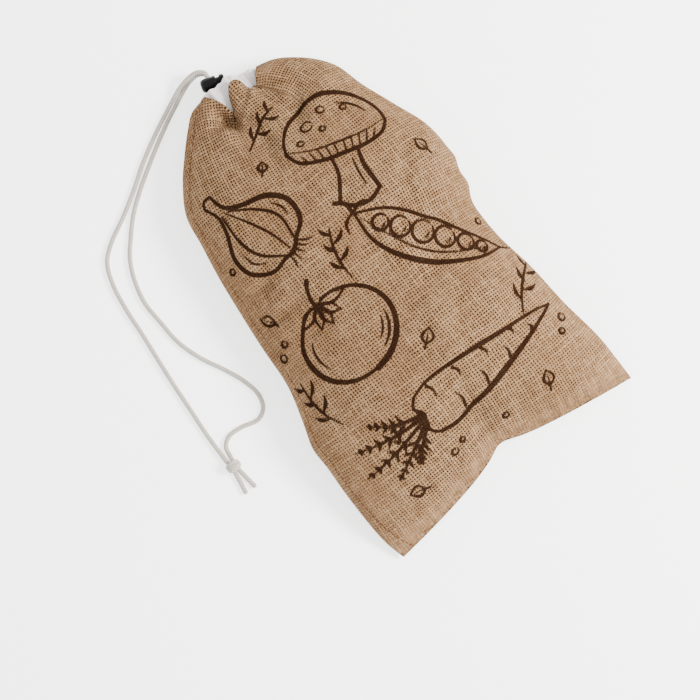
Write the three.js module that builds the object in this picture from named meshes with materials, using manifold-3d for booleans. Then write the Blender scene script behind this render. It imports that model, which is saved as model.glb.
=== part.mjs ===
// Drawstring produce bag of jute, lying on a surface with its mouth drawn together.
// Millimetres. +Y runs from the bottom seam to the mouth, +X across the bag, +Z up.
// The origin lies in the flat underside, below the middle of the belly.
import * as THREE from "three";
import { mergeVertices } from "three/addons/utils/BufferGeometryUtils.js";
import Module from "manifold-3d";

const wasm = await Module();
wasm.setup();

// Driving sizes
const bagLength = 334; // bottom seam to the rim of the neck, along the middle
const bagWidth = 222; // across the two bottom corners
const bellyHeight = 62; // underside to crown of the filled belly
const neckWidth = 48; // the gathered rim, side to side
const neckHeight = 36; // the gathered rim's front above the floor
const juteWall = 1.5;
const seamGap = 0.3; // between two pieces that are sewn or laid together
const cordDiameter = 3.6;
const cordClearance = 0.2; // round the cord inside the cotton tunnel
const cottonWall = 1.0;
const tunnelLength = 26; // of the cotton band, along the bag
const lockWidth = 11; // of the cord lock, along the cords
const lockWall = 1.3;
const lockReach = 13.5; // from the rim to where the cords cross the lock
const lockTurn = THREE.MathUtils.degToRad(-15.8); // of the plunger's axis from +X
const slideClearance = 0.25; // between plunger and barrel
const strandClearance = 0.3; // round each strand in the lock
const plungerTravel = 2.5;
const buttonLength = 3.8;
const knotSize = 12;
const tailLength = 16;

// Grid of the jute panels
const columns = 24;
const rows = 30;

const halfWidth = bagWidth / 2;
const bottomSeamY = -0.43 * bagLength;
const rimY = bottomSeamY + bagLength;
const cordRadius = cordDiameter / 2;

// Sections along the bag from the bottom seam to the rim. along, leftLag and rightLag are
// shares of bagLength: how far up the middle lies, and how far each edge trails behind it
// (near the neck the sections curve round it, and their edges run ahead). bow is the power of
// the distance from the middle by which a section trails: 2 is a round bow, less is a notch.
// left and right are shares of half of bagWidth, crown, seam and floor of bellyHeight.
const sectionColumns = [
  "along", "leftLag", "rightLag", "bow", "left", "right", "crown", "seam", "floor",
];
const sections = [
  [-0.01, 0.077, 0.054, 0.5, -0.962, 1.01, 0.8, 0.08, 0.0],
  [0.038, 0.076, 0.05, 0.65, -1.003, 1.005, 0.8, 0.12, 0.0],
  [0.095, 0.063, 0.037, 0.95, -1.024, 0.987, 0.84, 0.2, 0.0],
  [0.18, 0.035, 0.017, 1.4, -1.029, 0.922, 0.92, 0.28, 0.0],
  [0.267, 0.005, -0.007, 1.8, -0.996, 0.891, 0.99, 0.33, 0.0],
  [0.355, -0.017, -0.023, 2.0, -0.922, 0.838, 1.0, 0.34, 0.0],
  [0.444, -0.036, -0.039, 2.0, -0.908, 0.838, 0.97, 0.33, 0.0],
  [0.524, -0.056, -0.059, 2.0, -0.888, 0.915, 0.98, 0.34, 0.0],
  [0.595, -0.071, -0.074, 2.0, -0.865, 0.904, 1.0, 0.35, 0.0],
  [0.663, -0.084, -0.093, 2.0, -0.831, 0.803, 0.98, 0.35, 0.0],
  [0.731, -0.089, -0.102, 2.0, -0.8, 0.71, 0.92, 0.34, 0.0],
  [0.797, -0.089, -0.102, 2.0, -0.69, 0.65, 0.84, 0.33, 0.0],
  [0.858, -0.083, -0.086, 2.0, -0.557, 0.556, 0.75, 0.32, 0.0],
  [0.914, -0.068, -0.067, 2.0, -0.446, 0.426, 0.67, 0.31, 0.01],
  [0.962, -0.05, -0.04, 2.0, -0.35, 0.317, 0.61, 0.29, 0.03],
  [1.0, -0.025, -0.011, 2.0, -0.234, 0.2, 0.58, 0.28, 0.05],
];

// The front of the gathered rim from the left seam to the right one: the left lobe, a valley,
// the tongue between two valleys and the right lobe. around runs from -1 to 1, across is a
// share of neckWidth, drop (toward the bottom seam) and height are shares of neckHeight.
const rimColumns = ["around", "across", "drop", "height"];
const rimFront = [
  [-1.0, -0.54, -0.19, 0.48],
  [-0.88, -0.53, -0.16, 0.74],
  [-0.76, -0.47, -0.02, 0.93],
  [-0.64, -0.39, 0.19, 1.0],
  [-0.54, -0.335, 0.39, 0.98],
  [-0.46, -0.315, 0.56, 0.88],
  [-0.4, -0.31, 0.65, 0.79],
  [-0.34, -0.29, 0.58, 0.8],
  [-0.26, -0.25, 0.36, 0.86],
  [-0.16, -0.2, 0.17, 0.93],
  [-0.06, -0.115, 0.01, 0.99],
  [0.04, 0.0, -0.03, 1.0],
  [0.14, 0.08, 0.04, 0.95],
  [0.22, 0.12, 0.19, 0.86],
  [0.3, 0.165, 0.33, 0.79],
  [0.4, 0.22, 0.37, 0.8],
  [0.55, 0.28, 0.28, 0.9],
  [0.7, 0.345, 0.14, 0.95],
  [0.85, 0.41, 0.03, 0.84],
  [1.0, 0.46, -0.1, 0.48],
];

// Creases and dents of the front. x and length are shares of half of bagWidth, y of bagLength
// from the bottom seam, spread of half of bagWidth, depth of bellyHeight, turn in degrees.
const dentColumns = ["x", "y", "length", "spread", "turn", "depth"];
const dents = [
  [-0.8, 0.585, 0.22, 0.035, -6, 0.09],
  [-0.76, 0.5, 0.2, 0.035, 4, 0.09],
  [-0.72, 0.54, 0.16, 0.06, 0, -0.05],
  [-0.1, 0.84, 0.2, 0.08, 80, 0.1],
  [-0.35, 0.87, 0.16, 0.07, 130, 0.07],
  [0.24, 0.88, 0.2, 0.05, 60, 0.07],
  [0.4, 0.86, 0.2, 0.06, 35, -0.05],
  [0.62, 0.49, 0.24, 0.05, -14, 0.08],
  [0.55, 0.56, 0.2, 0.07, -30, -0.04],
  [0.1, 0.36, 0.4, 0.09, 20, 0.05],
  [-0.35, 0.3, 0.3, 0.07, -35, 0.05],
  [0.6, 0.2, 0.3, 0.08, 50, 0.06],
  [-0.65, 0.16, 0.28, 0.07, -50, 0.06],
  [0.0, 0.1, 0.22, 0.08, 90, 0.05],
];

const crownPower = 2.4; // how square the front's section is
const crownRoundness = 0.62; // how steeply it leaves the seam
const floorSpread = 1.15; // how far the flat of the underside reaches
const endRound = 0.22; // share of bagLength over which the bottom end rounds up
const neckReach = 0.24; // share of bagLength over which the gathers fade out
const backPleats = 4;
const backPleatDepth = 0.04; // share of neckHeight
const bottomSeamLift = 0.11; // of bellyHeight, at the middle of the bottom seam
const notchRound = 0.06; // how softly a notch in a section's middle is rounded
const pinchedEnd = 0.3; // how far up the two walls are kept apart at the seam

// A smooth curve through four neighbouring values
function blend(a, b, c, d, t) {
  const slopeB = (c - a) / 2;
  const slopeC = (d - b) / 2;
  const t2 = t * t;
  const t3 = t2 * t;
  return (2 * t3 - 3 * t2 + 1) * b + (t3 - 2 * t2 + t) * slopeB
    + (3 * t2 - 2 * t3) * c + (t3 - t2) * slopeC;
}

// The named values of a table at a place between its rows, counted in rows
function tableRow(names, table, place) {
  const last = table.length - 1;
  const i = Math.min(Math.floor(place), last - 1);
  const at = (k) => table[Math.min(Math.max(k, 0), last)];
  return Object.fromEntries(names.map((name, n) => [
    name,
    blend(at(i - 1)[n], at(i)[n], at(i + 1)[n], at(i + 2)[n], place - i),
  ]));
}

// The place in the rim's table that belongs to u, by its first column
function rimPlace(u) {
  const i = rimFront.findIndex((row, k) => k > 0 && u <= row[0]);
  const [from, to] = [rimFront[i - 1][0], rimFront[i][0]];
  return i - 1 + (u - from) / (to - from);
}

function dentDepth(x, y) {
  let depth = 0;
  for (const row of dents) {
    const dent = Object.fromEntries(dentColumns.map((name, n) => [name, row[n]]));
    const turn = THREE.MathUtils.degToRad(dent.turn);
    const dx = x - dent.x * halfWidth;
    const dy = y - (bottomSeamY + dent.y * bagLength);
    const alongDent = (dx * Math.cos(turn) + dy * Math.sin(turn)) / (dent.length * halfWidth);
    const acrossDent = (dy * Math.cos(turn) - dx * Math.sin(turn)) / (dent.spread * halfWidth);
    depth += dent.depth * bellyHeight * Math.exp(-(alongDent ** 2) - acrossDent ** 2);
  }
  return depth;
}

// Height of the line where front and back meet, at one section of the bag
function seamHeight(u, row) {
  const fromEnd = Math.min(1, Math.max(0, row.along) / endRound);
  return bellyHeight * (row.seam + bottomSeamLift * (1 - u * u) * (1 - fromEnd));
}

// How far a section trails at u, from 0 in its middle to 1 at its edges
function trail(u, bow) {
  const distance = Math.hypot(u, notchRound) - notchRound;
  return (distance / (Math.hypot(1, notchRound) - notchRound)) ** bow;
}

// A point of the bag's skin. u runs across from seam to seam (-1 to 1), v from the bottom
// seam to the rim (0 to 1). The front is the upper skin, the back the one that lies below.
function skinPoint(u, v, isFront) {
  const row = tableRow(sectionColumns, sections, v * (sections.length - 1));
  const side = u < 0 ? row.leftLag : row.rightLag;
  const edge = Math.abs(u);
  const x = halfWidth * (row.left + (row.right - row.left) * (u + 1) / 2);
  const y = bottomSeamY + bagLength * (row.along - side * trail(u, row.bow));
  const fromEnd = Math.min(1, Math.max(0, row.along) / endRound);
  const endLift = (1 - (1 - fromEnd) ** 2.2) ** 0.6;
  const seamZ = seamHeight(u, row);
  const gather = Math.max(0, 1 - (1 - row.along) / neckReach) ** 2;
  if (isFront) {
    const swell = Math.max(0, 1 - edge ** crownPower) ** crownRoundness * endLift;
    const z = seamZ + (row.crown * bellyHeight - seamZ) * swell;
    const point = new THREE.Vector3(x, y, z - dentDepth(x, y) * swell * (1 - gather));
    const plain = tableRow(sectionColumns, sections, sections.length - 1);
    const rim = tableRow(rimColumns, rimFront, rimPlace(u));
    const plainRim = new THREE.Vector3(
      halfWidth * (plain.left + (plain.right - plain.left) * (u + 1) / 2),
      rimY - bagLength * (u < 0 ? plain.leftLag : plain.rightLag) * trail(u, plain.bow),
      bellyHeight * (plain.seam + (plain.crown - plain.seam)
        * Math.max(0, 1 - edge ** crownPower) ** crownRoundness),
    );
    const gathered = new THREE.Vector3(
      rim.across * neckWidth,
      rimY - rim.drop * neckHeight,
      rim.height * neckHeight,
    );
    return point.add(gathered.sub(plainRim).multiplyScalar(gather));
  }
  const flat = Math.min(1, floorSpread * Math.sqrt(Math.max(0, 1 - edge ** 4)));
  const pleat = (0.5 - 0.5 * Math.cos(backPleats * Math.PI * (u + 1))) * backPleatDepth * neckHeight;
  const floorZ = Math.max(0, row.floor * bellyHeight);
  const drop = (seamZ - floorZ + pleat * gather) * flat * Math.min(1, endLift * 1.3);
  const z = Math.max(0, seamZ - drop);
  const rimEnd = u < 0 ? rimFront[0] : rimFront[rimFront.length - 1];
  const plain = tableRow(sectionColumns, sections, sections.length - 1);
  const plainX = halfWidth * (u < 0 ? plain.left : plain.right);
  const plainY = rimY - bagLength * (u < 0 ? plain.leftLag : plain.rightLag);
  const shift = gather * edge ** 3;
  return new THREE.Vector3(
    x + (rimEnd[1] * neckWidth - plainX) * shift,
    y + (rimY - rimEnd[2] * neckHeight - plainY) * shift,
    z + (rimEnd[3] * neckHeight - plain.seam * bellyHeight) * shift,
  );
}

// The direction in which the skin is thick. Along the seams it lies in the bag's own plane.
function skinNormal(u, v, isFront) {
  const step = 1e-3;
  const tangent = (du, dv) => skinPoint(
    Math.min(1, u + du),
    Math.min(1, v + dv),
    isFront,
  ).sub(skinPoint(Math.max(-1, u - du), Math.max(0, v - dv), isFront));
  const along = tangent(0, step);
  if (Math.abs(u) === 1) {
    const sideways = new THREE.Vector3(Math.sign(u) * along.y, -Math.sign(u) * along.x, 0);
    if (v === 0) sideways.normalize().add(new THREE.Vector3(0, -1, 0));
    return sideways.normalize();
  }
  const across = tangent(step, 0);
  if (v === 0) return new THREE.Vector3(across.y, -across.x, 0).normalize();
  const normal = across.cross(along).normalize();
  return isFront ? normal : normal.negate();
}

// Two grids of points, an outer and an inner skin, closed into one wall along their edges
function wallBetween(outer, inner, flip) {
  const count = outer.length;
  const width = outer[0].length;
  const points = [...outer.flat(), ...inner.flat()];
  const index = [];
  const quad = (a, b, c, d) => index.push(...(flip ? [a, c, b, a, d, c] : [a, b, c, a, c, d]));
  const top = (j, i) => j * width + i;
  const under = (j, i) => count * width + j * width + i;
  for (let j = 0; j < count - 1; j += 1) {
    for (let i = 0; i < width - 1; i += 1) {
      quad(top(j, i), top(j, i + 1), top(j + 1, i + 1), top(j + 1, i));
      quad(under(j, i), under(j + 1, i), under(j + 1, i + 1), under(j, i + 1));
    }
    quad(top(j, 0), top(j + 1, 0), under(j + 1, 0), under(j, 0));
    quad(top(j, width - 1), under(j, width - 1), under(j + 1, width - 1), top(j + 1, width - 1));
  }
  for (let i = 0; i < width - 1; i += 1) {
    quad(top(0, i), under(0, i), under(0, i + 1), top(0, i + 1));
    quad(top(count - 1, i), top(count - 1, i + 1), under(count - 1, i + 1), under(count - 1, i));
  }
  return meshGeometry(points, index);
}

function meshGeometry(points, index) {
  const geometry = new THREE.BufferGeometry();
  geometry.setAttribute("position", new THREE.Float32BufferAttribute(points.flatMap((p) => [p.x, p.y, p.z]), 3));
  geometry.setIndex(index);
  geometry.computeVertexNormals();
  return geometry;
}

// In the pinched bottom corners the two walls lie on each other and stay apart at the seam
function jutePanel(isFront) {
  const clampSide = isFront ? Math.max : Math.min;
  const outer = [];
  const inner = [];
  const lift = new THREE.Vector3(0, 0, (isFront ? 1 : -1) * seamGap / 2);
  for (let j = 0; j <= rows; j += 1) {
    const v = (j / rows) ** 1.25;
    outer.push([]);
    inner.push([]);
    for (let i = 0; i <= columns; i += 1) {
      const evenly = -1 + 2 * i / columns;
      const u = i % columns === 0 ? evenly : 0.45 * evenly + 0.55 * Math.sin(evenly * Math.PI / 2);
      const point = skinPoint(u, v, isFront);
      if (i % columns === 0 || j === 0) point.add(lift);
      const inside = point.clone().addScaledVector(skinNormal(u, v, isFront), -juteWall);
      const seamZ = seamHeight(u, tableRow(sectionColumns, sections, v * (sections.length - 1)));
      if (v < pinchedEnd) inside.z = clampSide(inside.z, seamZ + lift.z);
      outer[j].push(point);
      inner[j].push(inside);
    }
  }
  return wallBetween(outer, inner, !isFront);
}

// A closed body through a row of sections, each a ring of points, capped at both ends
function loft(rings) {
  const points = rings.flat();
  const sides = rings[0].length;
  const index = [];
  for (let j = 0; j < rings.length - 1; j += 1) {
    for (let i = 0; i < sides; i += 1) {
      const next = (i + 1) % sides;
      const [a, b, c, d] = [j * sides + i, j * sides + next, (j + 1) * sides + next, (j + 1) * sides + i];
      index.push(a, b, c, a, c, d);
    }
  }
  const last = (rings.length - 1) * sides;
  for (let i = 1; i < sides - 1; i += 1) {
    index.push(0, i + 1, i);
    index.push(last, last + i, last + i + 1);
  }
  return meshGeometry(points, index);
}

function toSolid(geometry) {
  const bare = geometry.clone();
  bare.deleteAttribute("normal");
  bare.deleteAttribute("uv");
  const merged = mergeVertices(bare, 1e-4);
  return new wasm.Manifold(new wasm.Mesh({
    numProp: 3,
    vertProperties: merged.attributes.position.array,
    triVerts: new Uint32Array(merged.index.array),
  }));
}

function fromSolid(solid) {
  const mesh = solid.getMesh();
  const geometry = new THREE.BufferGeometry();
  geometry.setAttribute("position", new THREE.BufferAttribute(mesh.vertProperties, 3));
  geometry.setIndex(new THREE.BufferAttribute(mesh.triVerts, 1));
  geometry.computeVertexNormals();
  return geometry;
}

// Cotton tunnel: a flat tube bent round the inside of the neck and open at its two ends,
// which lie at the left, where the cord comes out.
const tunnelThickness = cordDiameter + 2 * (cordClearance + cottonWall);
const tunnelTop = Math.min(...rimFront.map((row) => row[3]).slice(1, -1)) * neckHeight
  - juteWall - 3 * seamGap;
const rimFloor = tableRow(sectionColumns, sections, sections.length - 1).floor;
const tunnelBottom = rimFloor * bellyHeight + juteWall + seamGap;
const ringRadius = (tunnelTop - tunnelBottom - tunnelThickness) / 2;
const ringZ = (tunnelTop + tunnelBottom) / 2;
const ringLeft = -0.31 * neckWidth;
const ringRight = 0.4 * neckWidth - tunnelThickness / 2 - ringRadius;
const ringTilt = 0.12; // how far the band slants, per millimetre across
const bandMiddleY = rimY + 0.085 * neckHeight - tunnelLength / 2;

// Points round the neck from the upper end over the right side to the lower end, with the
// direction that faces out of the ring
function ringPath() {
  const path = [];
  const place = (x, z, outX, outZ) => path.push({
    at: new THREE.Vector3(x, bandMiddleY + ringTilt * (x + 4), z),
    out: new THREE.Vector3(outX, 0, outZ),
  });
  const straightSteps = 10;
  const arcSteps = 14;
  for (let k = 0; k < straightSteps; k += 1) {
    place(ringLeft + (ringRight - ringLeft) * k / straightSteps, ringZ + ringRadius, 0, 1);
  }
  for (let k = 0; k <= arcSteps; k += 1) {
    const angle = Math.PI / 2 - Math.PI * k / arcSteps;
    const [outX, outZ] = [Math.cos(angle), Math.sin(angle)];
    place(ringRight + ringRadius * outX, ringZ + ringRadius * outZ, outX, outZ);
  }
  for (let k = straightSteps - 1; k >= 0; k -= 1) {
    place(ringLeft + (ringRight - ringLeft) * k / straightSteps, ringZ - ringRadius, 0, -1);
  }
  return path;
}

function cottonTunnel() {
  const section = (thickness, length) => {
    const round = Math.min(thickness, length) * 0.3;
    const [t, l] = [thickness / 2, length / 2];
    return [
      [t, l - round], [t, round - l], [t - round, -l], [round - t, -l],
      [-t, round - l], [-t, l - round], [round - t, l], [t - round, l],
    ];
  };
  const ringsOf = (thickness, length) => ringPath().map(({ at, out }) => {
    const ring = section(thickness, length).map(([outward, forward]) => at.clone()
      .addScaledVector(out, outward).add(new THREE.Vector3(0, forward, 0)));
    return ring;
  });
  const outer = ringsOf(tunnelThickness, tunnelLength);
  const inner = ringsOf(tunnelThickness - 2 * cottonWall, tunnelLength - 2 * cottonWall);
  const sides = outer[0].length;
  const wrap = (rings) => rings.map((ring) => [...ring, ring[0]]);
  const points = [...wrap(outer).flat(), ...wrap(inner).flat()];
  const width = sides + 1;
  const count = outer.length;
  const index = [];
  const quad = (a, b, c, d) => index.push(a, b, c, a, c, d);
  for (let j = 0; j < count - 1; j += 1) {
    for (let i = 0; i < sides; i += 1) {
      const under = count * width;
      const a = j * width + i;
      quad(a, a + 1, a + 1 + width, a + width);
      quad(under + a, under + a + width, under + a + width + 1, under + a + 1);
    }
  }
  for (let i = 0; i < sides; i += 1) {
    const under = count * width;
    const last = (count - 1) * width;
    quad(i, under + i, under + i + 1, i + 1);
    quad(last + i, last + i + 1, under + last + i + 1, under + last + i);
  }
  return meshGeometry(points, index);
}

// Cord lock, in its own frame: the plunger slides along X, the cords pass along Y, one above
// the other, and the closed end of the barrel is at x = 0.
const strandPitch = cordDiameter + strandClearance;
const slotHeight = 2 * cordDiameter + 3 * strandClearance;
const bridge = 1.6; // plunger's wall above and below the strands
const stemHalfHeight = slotHeight / 2 + bridge;
const barrelHalfHeight = stemHalfHeight + slideClearance + lockWall;
const stemHalfWidth = lockWidth / 2 - lockWall - slideClearance;
const stemStart = lockWall + plungerTravel + 0.5;
const stemFloor = 1.0;
const plungerSlotLength = cordDiameter + plungerTravel + 2 * strandClearance;
const strandX = stemStart + stemFloor + strandClearance + cordRadius;
const stemSlotEnd = stemStart + stemFloor + plungerSlotLength;
const barrelLength = stemSlotEnd + 0.6;
const buttonStart = barrelLength + plungerTravel + strandClearance;
const buttonEnd = buttonStart + buttonLength;
const lockSides = 20;

function ovalRing(x, halfY, halfZ, reach) {
  const ring = [];
  for (let k = 0; k < lockSides; k += 1) {
    const angle = 2 * Math.PI * k / lockSides;
    ring.push(new THREE.Vector3(x, halfY * reach * Math.cos(angle), halfZ * reach * Math.sin(angle)));
  }
  return ring;
}

// Stations along the lock: x, then the share of the full oval that is left there
function ovalLoft(stations, halfY, halfZ) {
  return toSolid(loft(stations.map(([x, reach]) => ovalRing(x, halfY, halfZ, reach))));
}

function boxSolid(fromX, toX, width, height) {
  const box = new THREE.BoxGeometry(toX - fromX, width, height);
  box.translate((fromX + toX) / 2, 0, 0);
  return toSolid(box);
}

function lockBarrel() {
  const shell = ovalLoft([
    [0, 0.5], [0.35, 0.72], [1.1, 0.88], [2.4, 0.97], [4.2, 1],
    [barrelLength - 1.2, 1], [barrelLength - 0.3, 0.97], [barrelLength, 0.9],
  ], lockWidth / 2, barrelHalfHeight);
  const bore = ovalLoft(
    [[lockWall, 0.8], [lockWall + 1, 1], [barrelLength + 1, 1]],
    stemHalfWidth + slideClearance,
    stemHalfHeight + slideClearance,
  );
  const half = cordRadius + strandClearance;
  const crossSlot = boxSolid(strandX - half, strandX + half, 2 * lockWidth, slotHeight);
  return fromSolid(shell.subtract(bore).subtract(crossSlot));
}

function lockPlunger() {
  const neckStation = barrelLength + 0.4;
  const body = ovalLoft([
    [stemStart, 0.72], [stemStart + 0.8, 1], [barrelLength - 0.1, 1], [neckStation, 0.9],
    [buttonStart - 0.1, 0.9], [buttonStart, 1.12], [buttonStart + 0.5, 1.2],
    [buttonEnd - 1.2, 1.2], [buttonEnd - 0.4, 1.08], [buttonEnd, 0.85],
  ], stemHalfWidth, stemHalfHeight);
  const slotStart = stemStart + stemFloor;
  return fromSolid(body.subtract(boxSolid(slotStart, stemSlotEnd, 2 * lockWidth, slotHeight)));
}

// The cord. Its strands run through the lock one above the other and lie side by side on the
// floor. They cross the plunger at lockCentre.
const lockCentre = new THREE.Vector3(-14.1, rimY + lockReach, ringZ);
const floorZ = cordRadius + 0.1;
const upperZ = ringZ + strandPitch / 2;
const lowerZ = ringZ - strandPitch / 2;

// Points of the two free strands, across and along from the crossing in the lock, and their
// height above the floor
const outerRoute = [
  [1.7, 6.2, upperZ], [1.4, 9.5, upperZ - 0.3], [-3.2, 13.5, 14.6], [-10.7, 14.5, 10.6],
  [-21.5, 12.5, 6.1], [-31.0, 8.5, 3.2], [-39.0, 4.7, 2.1], [-58.0, -5.5, floorZ],
  [-77.5, -17.5, floorZ], [-94.0, -29.5, floorZ], [-113.0, -42.0, floorZ], [-132.0, -53.0, floorZ],
  [-143.0, -63.0, floorZ], [-149.5, -80.0, floorZ], [-152.5, -102.5, floorZ], [-153.5, -123.5, floorZ],
  [-155.0, -145.0, floorZ], [-156.5, -167.5, floorZ], [-157.5, -192.0, floorZ], [-158.5, -216.0, floorZ],
  [-158.3, -239.3, floorZ + 0.9],
];
const innerRoute = [
  [1.7, 6.2, lowerZ], [1.4, 9.1, lowerZ - 0.3], [-3.1, 12.3, 10.6], [-10.9, 12.7, 6.9],
  [-22.0, 8.8, 3.2], [-31.0, 4.3, 2.0], [-38.5, 0.5, floorZ], [-56.5, -10.0, floorZ],
  [-75.0, -22.0, floorZ], [-91.5, -33.5, floorZ], [-106.0, -45.5, floorZ], [-118.5, -59.5, floorZ],
  [-127.0, -70.5, floorZ], [-134.0, -86.0, floorZ], [-138.0, -105.5, floorZ], [-137.0, -124.0, floorZ],
  [-135.0, -144.5, floorZ], [-128.5, -164.0, floorZ], [-118.5, -183.0, floorZ], [-112.0, -198.0, floorZ],
  [-109.0, -212.5, floorZ], [-112.0, -223.0, floorZ], [-120.0, -228.0, floorZ], [-134.0, -225.5, floorZ],
  [-145.5, -225.5, floorZ], [-152.0, -230.5, floorZ], [-153.7, -239.3, floorZ + 0.9],
];
const knotPlace = new THREE.Vector3(-156.0, -245.9, knotSize * 0.4);

function cordTube(route, steps) {
  const section = new THREE.Shape();
  const sides = 8;
  for (let k = 0; k < sides; k += 1) {
    const angle = 2 * Math.PI * (k + 0.5) / sides;
    const [x, y] = [cordRadius * Math.cos(angle), cordRadius * Math.sin(angle)];
    if (k === 0) section.moveTo(x, y);
    else section.lineTo(x, y);
  }
  section.closePath();
  const curve = new THREE.CatmullRomCurve3(route.map(([x, y, z]) => new THREE.Vector3(x, y, z)));
  return new THREE.ExtrudeGeometry(section, { steps, bevelEnabled: false, extrudePath: curve });
}

// Whole stretch that the bag holds: from the lock into the tunnel, round the neck and back
function heldRoute() {
  const forward = new THREE.Vector3(-Math.sin(lockTurn), Math.cos(lockTurn), 0);
  const throughLock = (offset, z) => {
    const point = lockCentre.clone().addScaledVector(forward, offset);
    return [point.x, point.y, z];
  };
  const ring = ringPath().filter((step, k) => k % 2 === 0).slice(1, -1)
    .map(({ at }) => [at.x, at.y, at.z]);
  const farFace = lockWidth / 2;
  const [first] = ring;
  const lastPoint = ring[ring.length - 1];
  return [
    throughLock(farFace, upperZ), throughLock(0, upperZ), throughLock(-farFace - 0.5, upperZ + 0.2),
    [ringLeft - 4.9, first[1] + 6.6, upperZ + 1.6],
    [ringLeft - 3.9, first[1] + 1.7, first[2] - 0.8],
    ...ring,
    [ringLeft - 3.9, lastPoint[1] + 1.7, lastPoint[2] + 0.8],
    [ringLeft - 4.9, lastPoint[1] + 6.6, lowerZ - 1.6],
    throughLock(-farFace - 0.5, lowerZ - 0.2), throughLock(0, lowerZ), throughLock(farFace, lowerZ),
  ];
}

function cordKnot() {
  const ball = new THREE.SphereGeometry(1, 12, 8);
  ball.scale(knotSize * 0.42, knotSize * 0.5, knotSize * 0.36);
  const wrap = (turn, lean) => {
    const ring = new THREE.TorusGeometry(knotSize * 0.3, cordRadius, 7, 14);
    ring.rotateX(lean);
    ring.rotateZ(turn);
    return toSolid(ring);
  };
  let knot = toSolid(ball).add(wrap(0.3, 0.35)).add(wrap(-0.5, 1.45));
  for (const side of [-1, 1]) {
    const tail = [
      [side * 1.2, -knotSize * 0.2, -1.2], [side * 2.2, -knotSize * 0.55, floorZ - knotPlace.z],
      [side * 3.4, -knotSize * 0.5 - tailLength * 0.5, floorZ - knotPlace.z],
      [side * 4.2, -knotSize * 0.5 - tailLength, floorZ - knotPlace.z],
    ];
    knot = knot.add(toSolid(cordTube(tail, 8)));
  }
  const below = toSolid(new THREE.BoxGeometry(60, 60, 10).translate(0, 0, 0.1 - knotPlace.z - 5));
  return fromSolid(knot.subtract(below));
}

function material(colour, roughness) {
  return new THREE.MeshStandardMaterial({ color: colour, roughness, metalness: 0 });
}

const jute = () => material(0xc39b73, 0.95);
const cotton = () => material(0xe6e1df, 0.9);
const cordCotton = () => material(0xd8d4cc, 0.85);
const lockPlastic = () => material(0x19191c, 0.35);

const bag = new THREE.Group();
const addMesh = (name, geometry, finish, parent = bag) => {
  const mesh = new THREE.Mesh(geometry, finish);
  mesh.name = name;
  parent.add(mesh);
};

addMesh("jute_front_panel", jutePanel(true), jute());
addMesh("jute_back_panel", jutePanel(false), jute());
addMesh("cotton_tunnel", cottonTunnel(), cotton());
addMesh("drawcord_in_tunnel", cordTube(heldRoute(), 50), cordCotton());

const freeCord = new THREE.Group();
freeCord.position.set(lockCentre.x, lockCentre.y, 0);
addMesh("drawcord_outer_strand", cordTube(outerRoute, 46), cordCotton(), freeCord);
addMesh("drawcord_inner_strand", cordTube(innerRoute, 54), cordCotton(), freeCord);
const knotGroup = new THREE.Group();
knotGroup.position.copy(knotPlace);
addMesh("drawcord_knot", cordKnot(), cordCotton(), knotGroup);
freeCord.add(knotGroup);
bag.add(freeCord);

const lock = new THREE.Group();
lock.position.copy(lockCentre);
lock.rotation.z = lockTurn;
const lockPieces = new THREE.Group();
lockPieces.position.x = -strandX;
addMesh("cord_lock_barrel", lockBarrel(), lockPlastic(), lockPieces);
addMesh("cord_lock_plunger", lockPlunger(), lockPlastic(), lockPieces);
lock.add(lockPieces);
bag.add(lock);

export default bag;
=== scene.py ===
"""Jute produce bag with a drawcord: finish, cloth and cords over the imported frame."""
import math

import bpy
import numpy as np
from mathutils import Matrix, Vector


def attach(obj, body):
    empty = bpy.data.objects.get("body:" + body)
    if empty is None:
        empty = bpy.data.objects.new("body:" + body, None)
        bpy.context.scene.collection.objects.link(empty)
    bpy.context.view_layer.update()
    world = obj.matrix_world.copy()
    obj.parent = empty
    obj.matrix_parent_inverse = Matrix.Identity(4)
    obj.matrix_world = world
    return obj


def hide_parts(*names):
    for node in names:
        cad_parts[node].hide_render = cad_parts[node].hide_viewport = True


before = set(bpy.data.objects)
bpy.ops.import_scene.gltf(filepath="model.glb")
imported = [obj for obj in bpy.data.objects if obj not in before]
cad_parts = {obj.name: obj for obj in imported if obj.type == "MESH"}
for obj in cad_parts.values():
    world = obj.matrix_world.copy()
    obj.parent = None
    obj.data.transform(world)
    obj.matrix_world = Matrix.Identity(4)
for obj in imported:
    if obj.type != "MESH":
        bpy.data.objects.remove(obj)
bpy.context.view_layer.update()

# Sizes, in millimetres like the tables below; meshes are made in metres
MM = 0.001
BAG_LENGTH = 334.0
BAG_WIDTH = 222.0
BELLY_HEIGHT = 62.0
NECK_WIDTH = 48.0
NECK_HEIGHT = 36.0
JUTE_WALL = 1.5
SEAM_GAP = 0.3
CORD_DIAMETER = 3.6
TUNNEL_LENGTH = 26.0
LOCK_WIDTH = 11.0
LOCK_WALL = 1.3
LOCK_TURN = math.radians(-15.8)
SLIDE_CLEARANCE = 0.25
STRAND_CLEARANCE = 0.3
PLUNGER_TRAVEL = 2.5
BUTTON_LENGTH = 3.8
KNOT_SIZE = 12.0
TAIL_LENGTH = 16.0
THREAD_PITCH = 2.33

HALF_WIDTH = BAG_WIDTH / 2
BOTTOM_SEAM_Y = -0.43 * BAG_LENGTH
RIM_Y = BOTTOM_SEAM_Y + BAG_LENGTH
CORD_RADIUS = CORD_DIAMETER / 2
STRAND_PITCH = CORD_DIAMETER + STRAND_CLEARANCE


# Camera at the photograph's viewing angle

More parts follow.
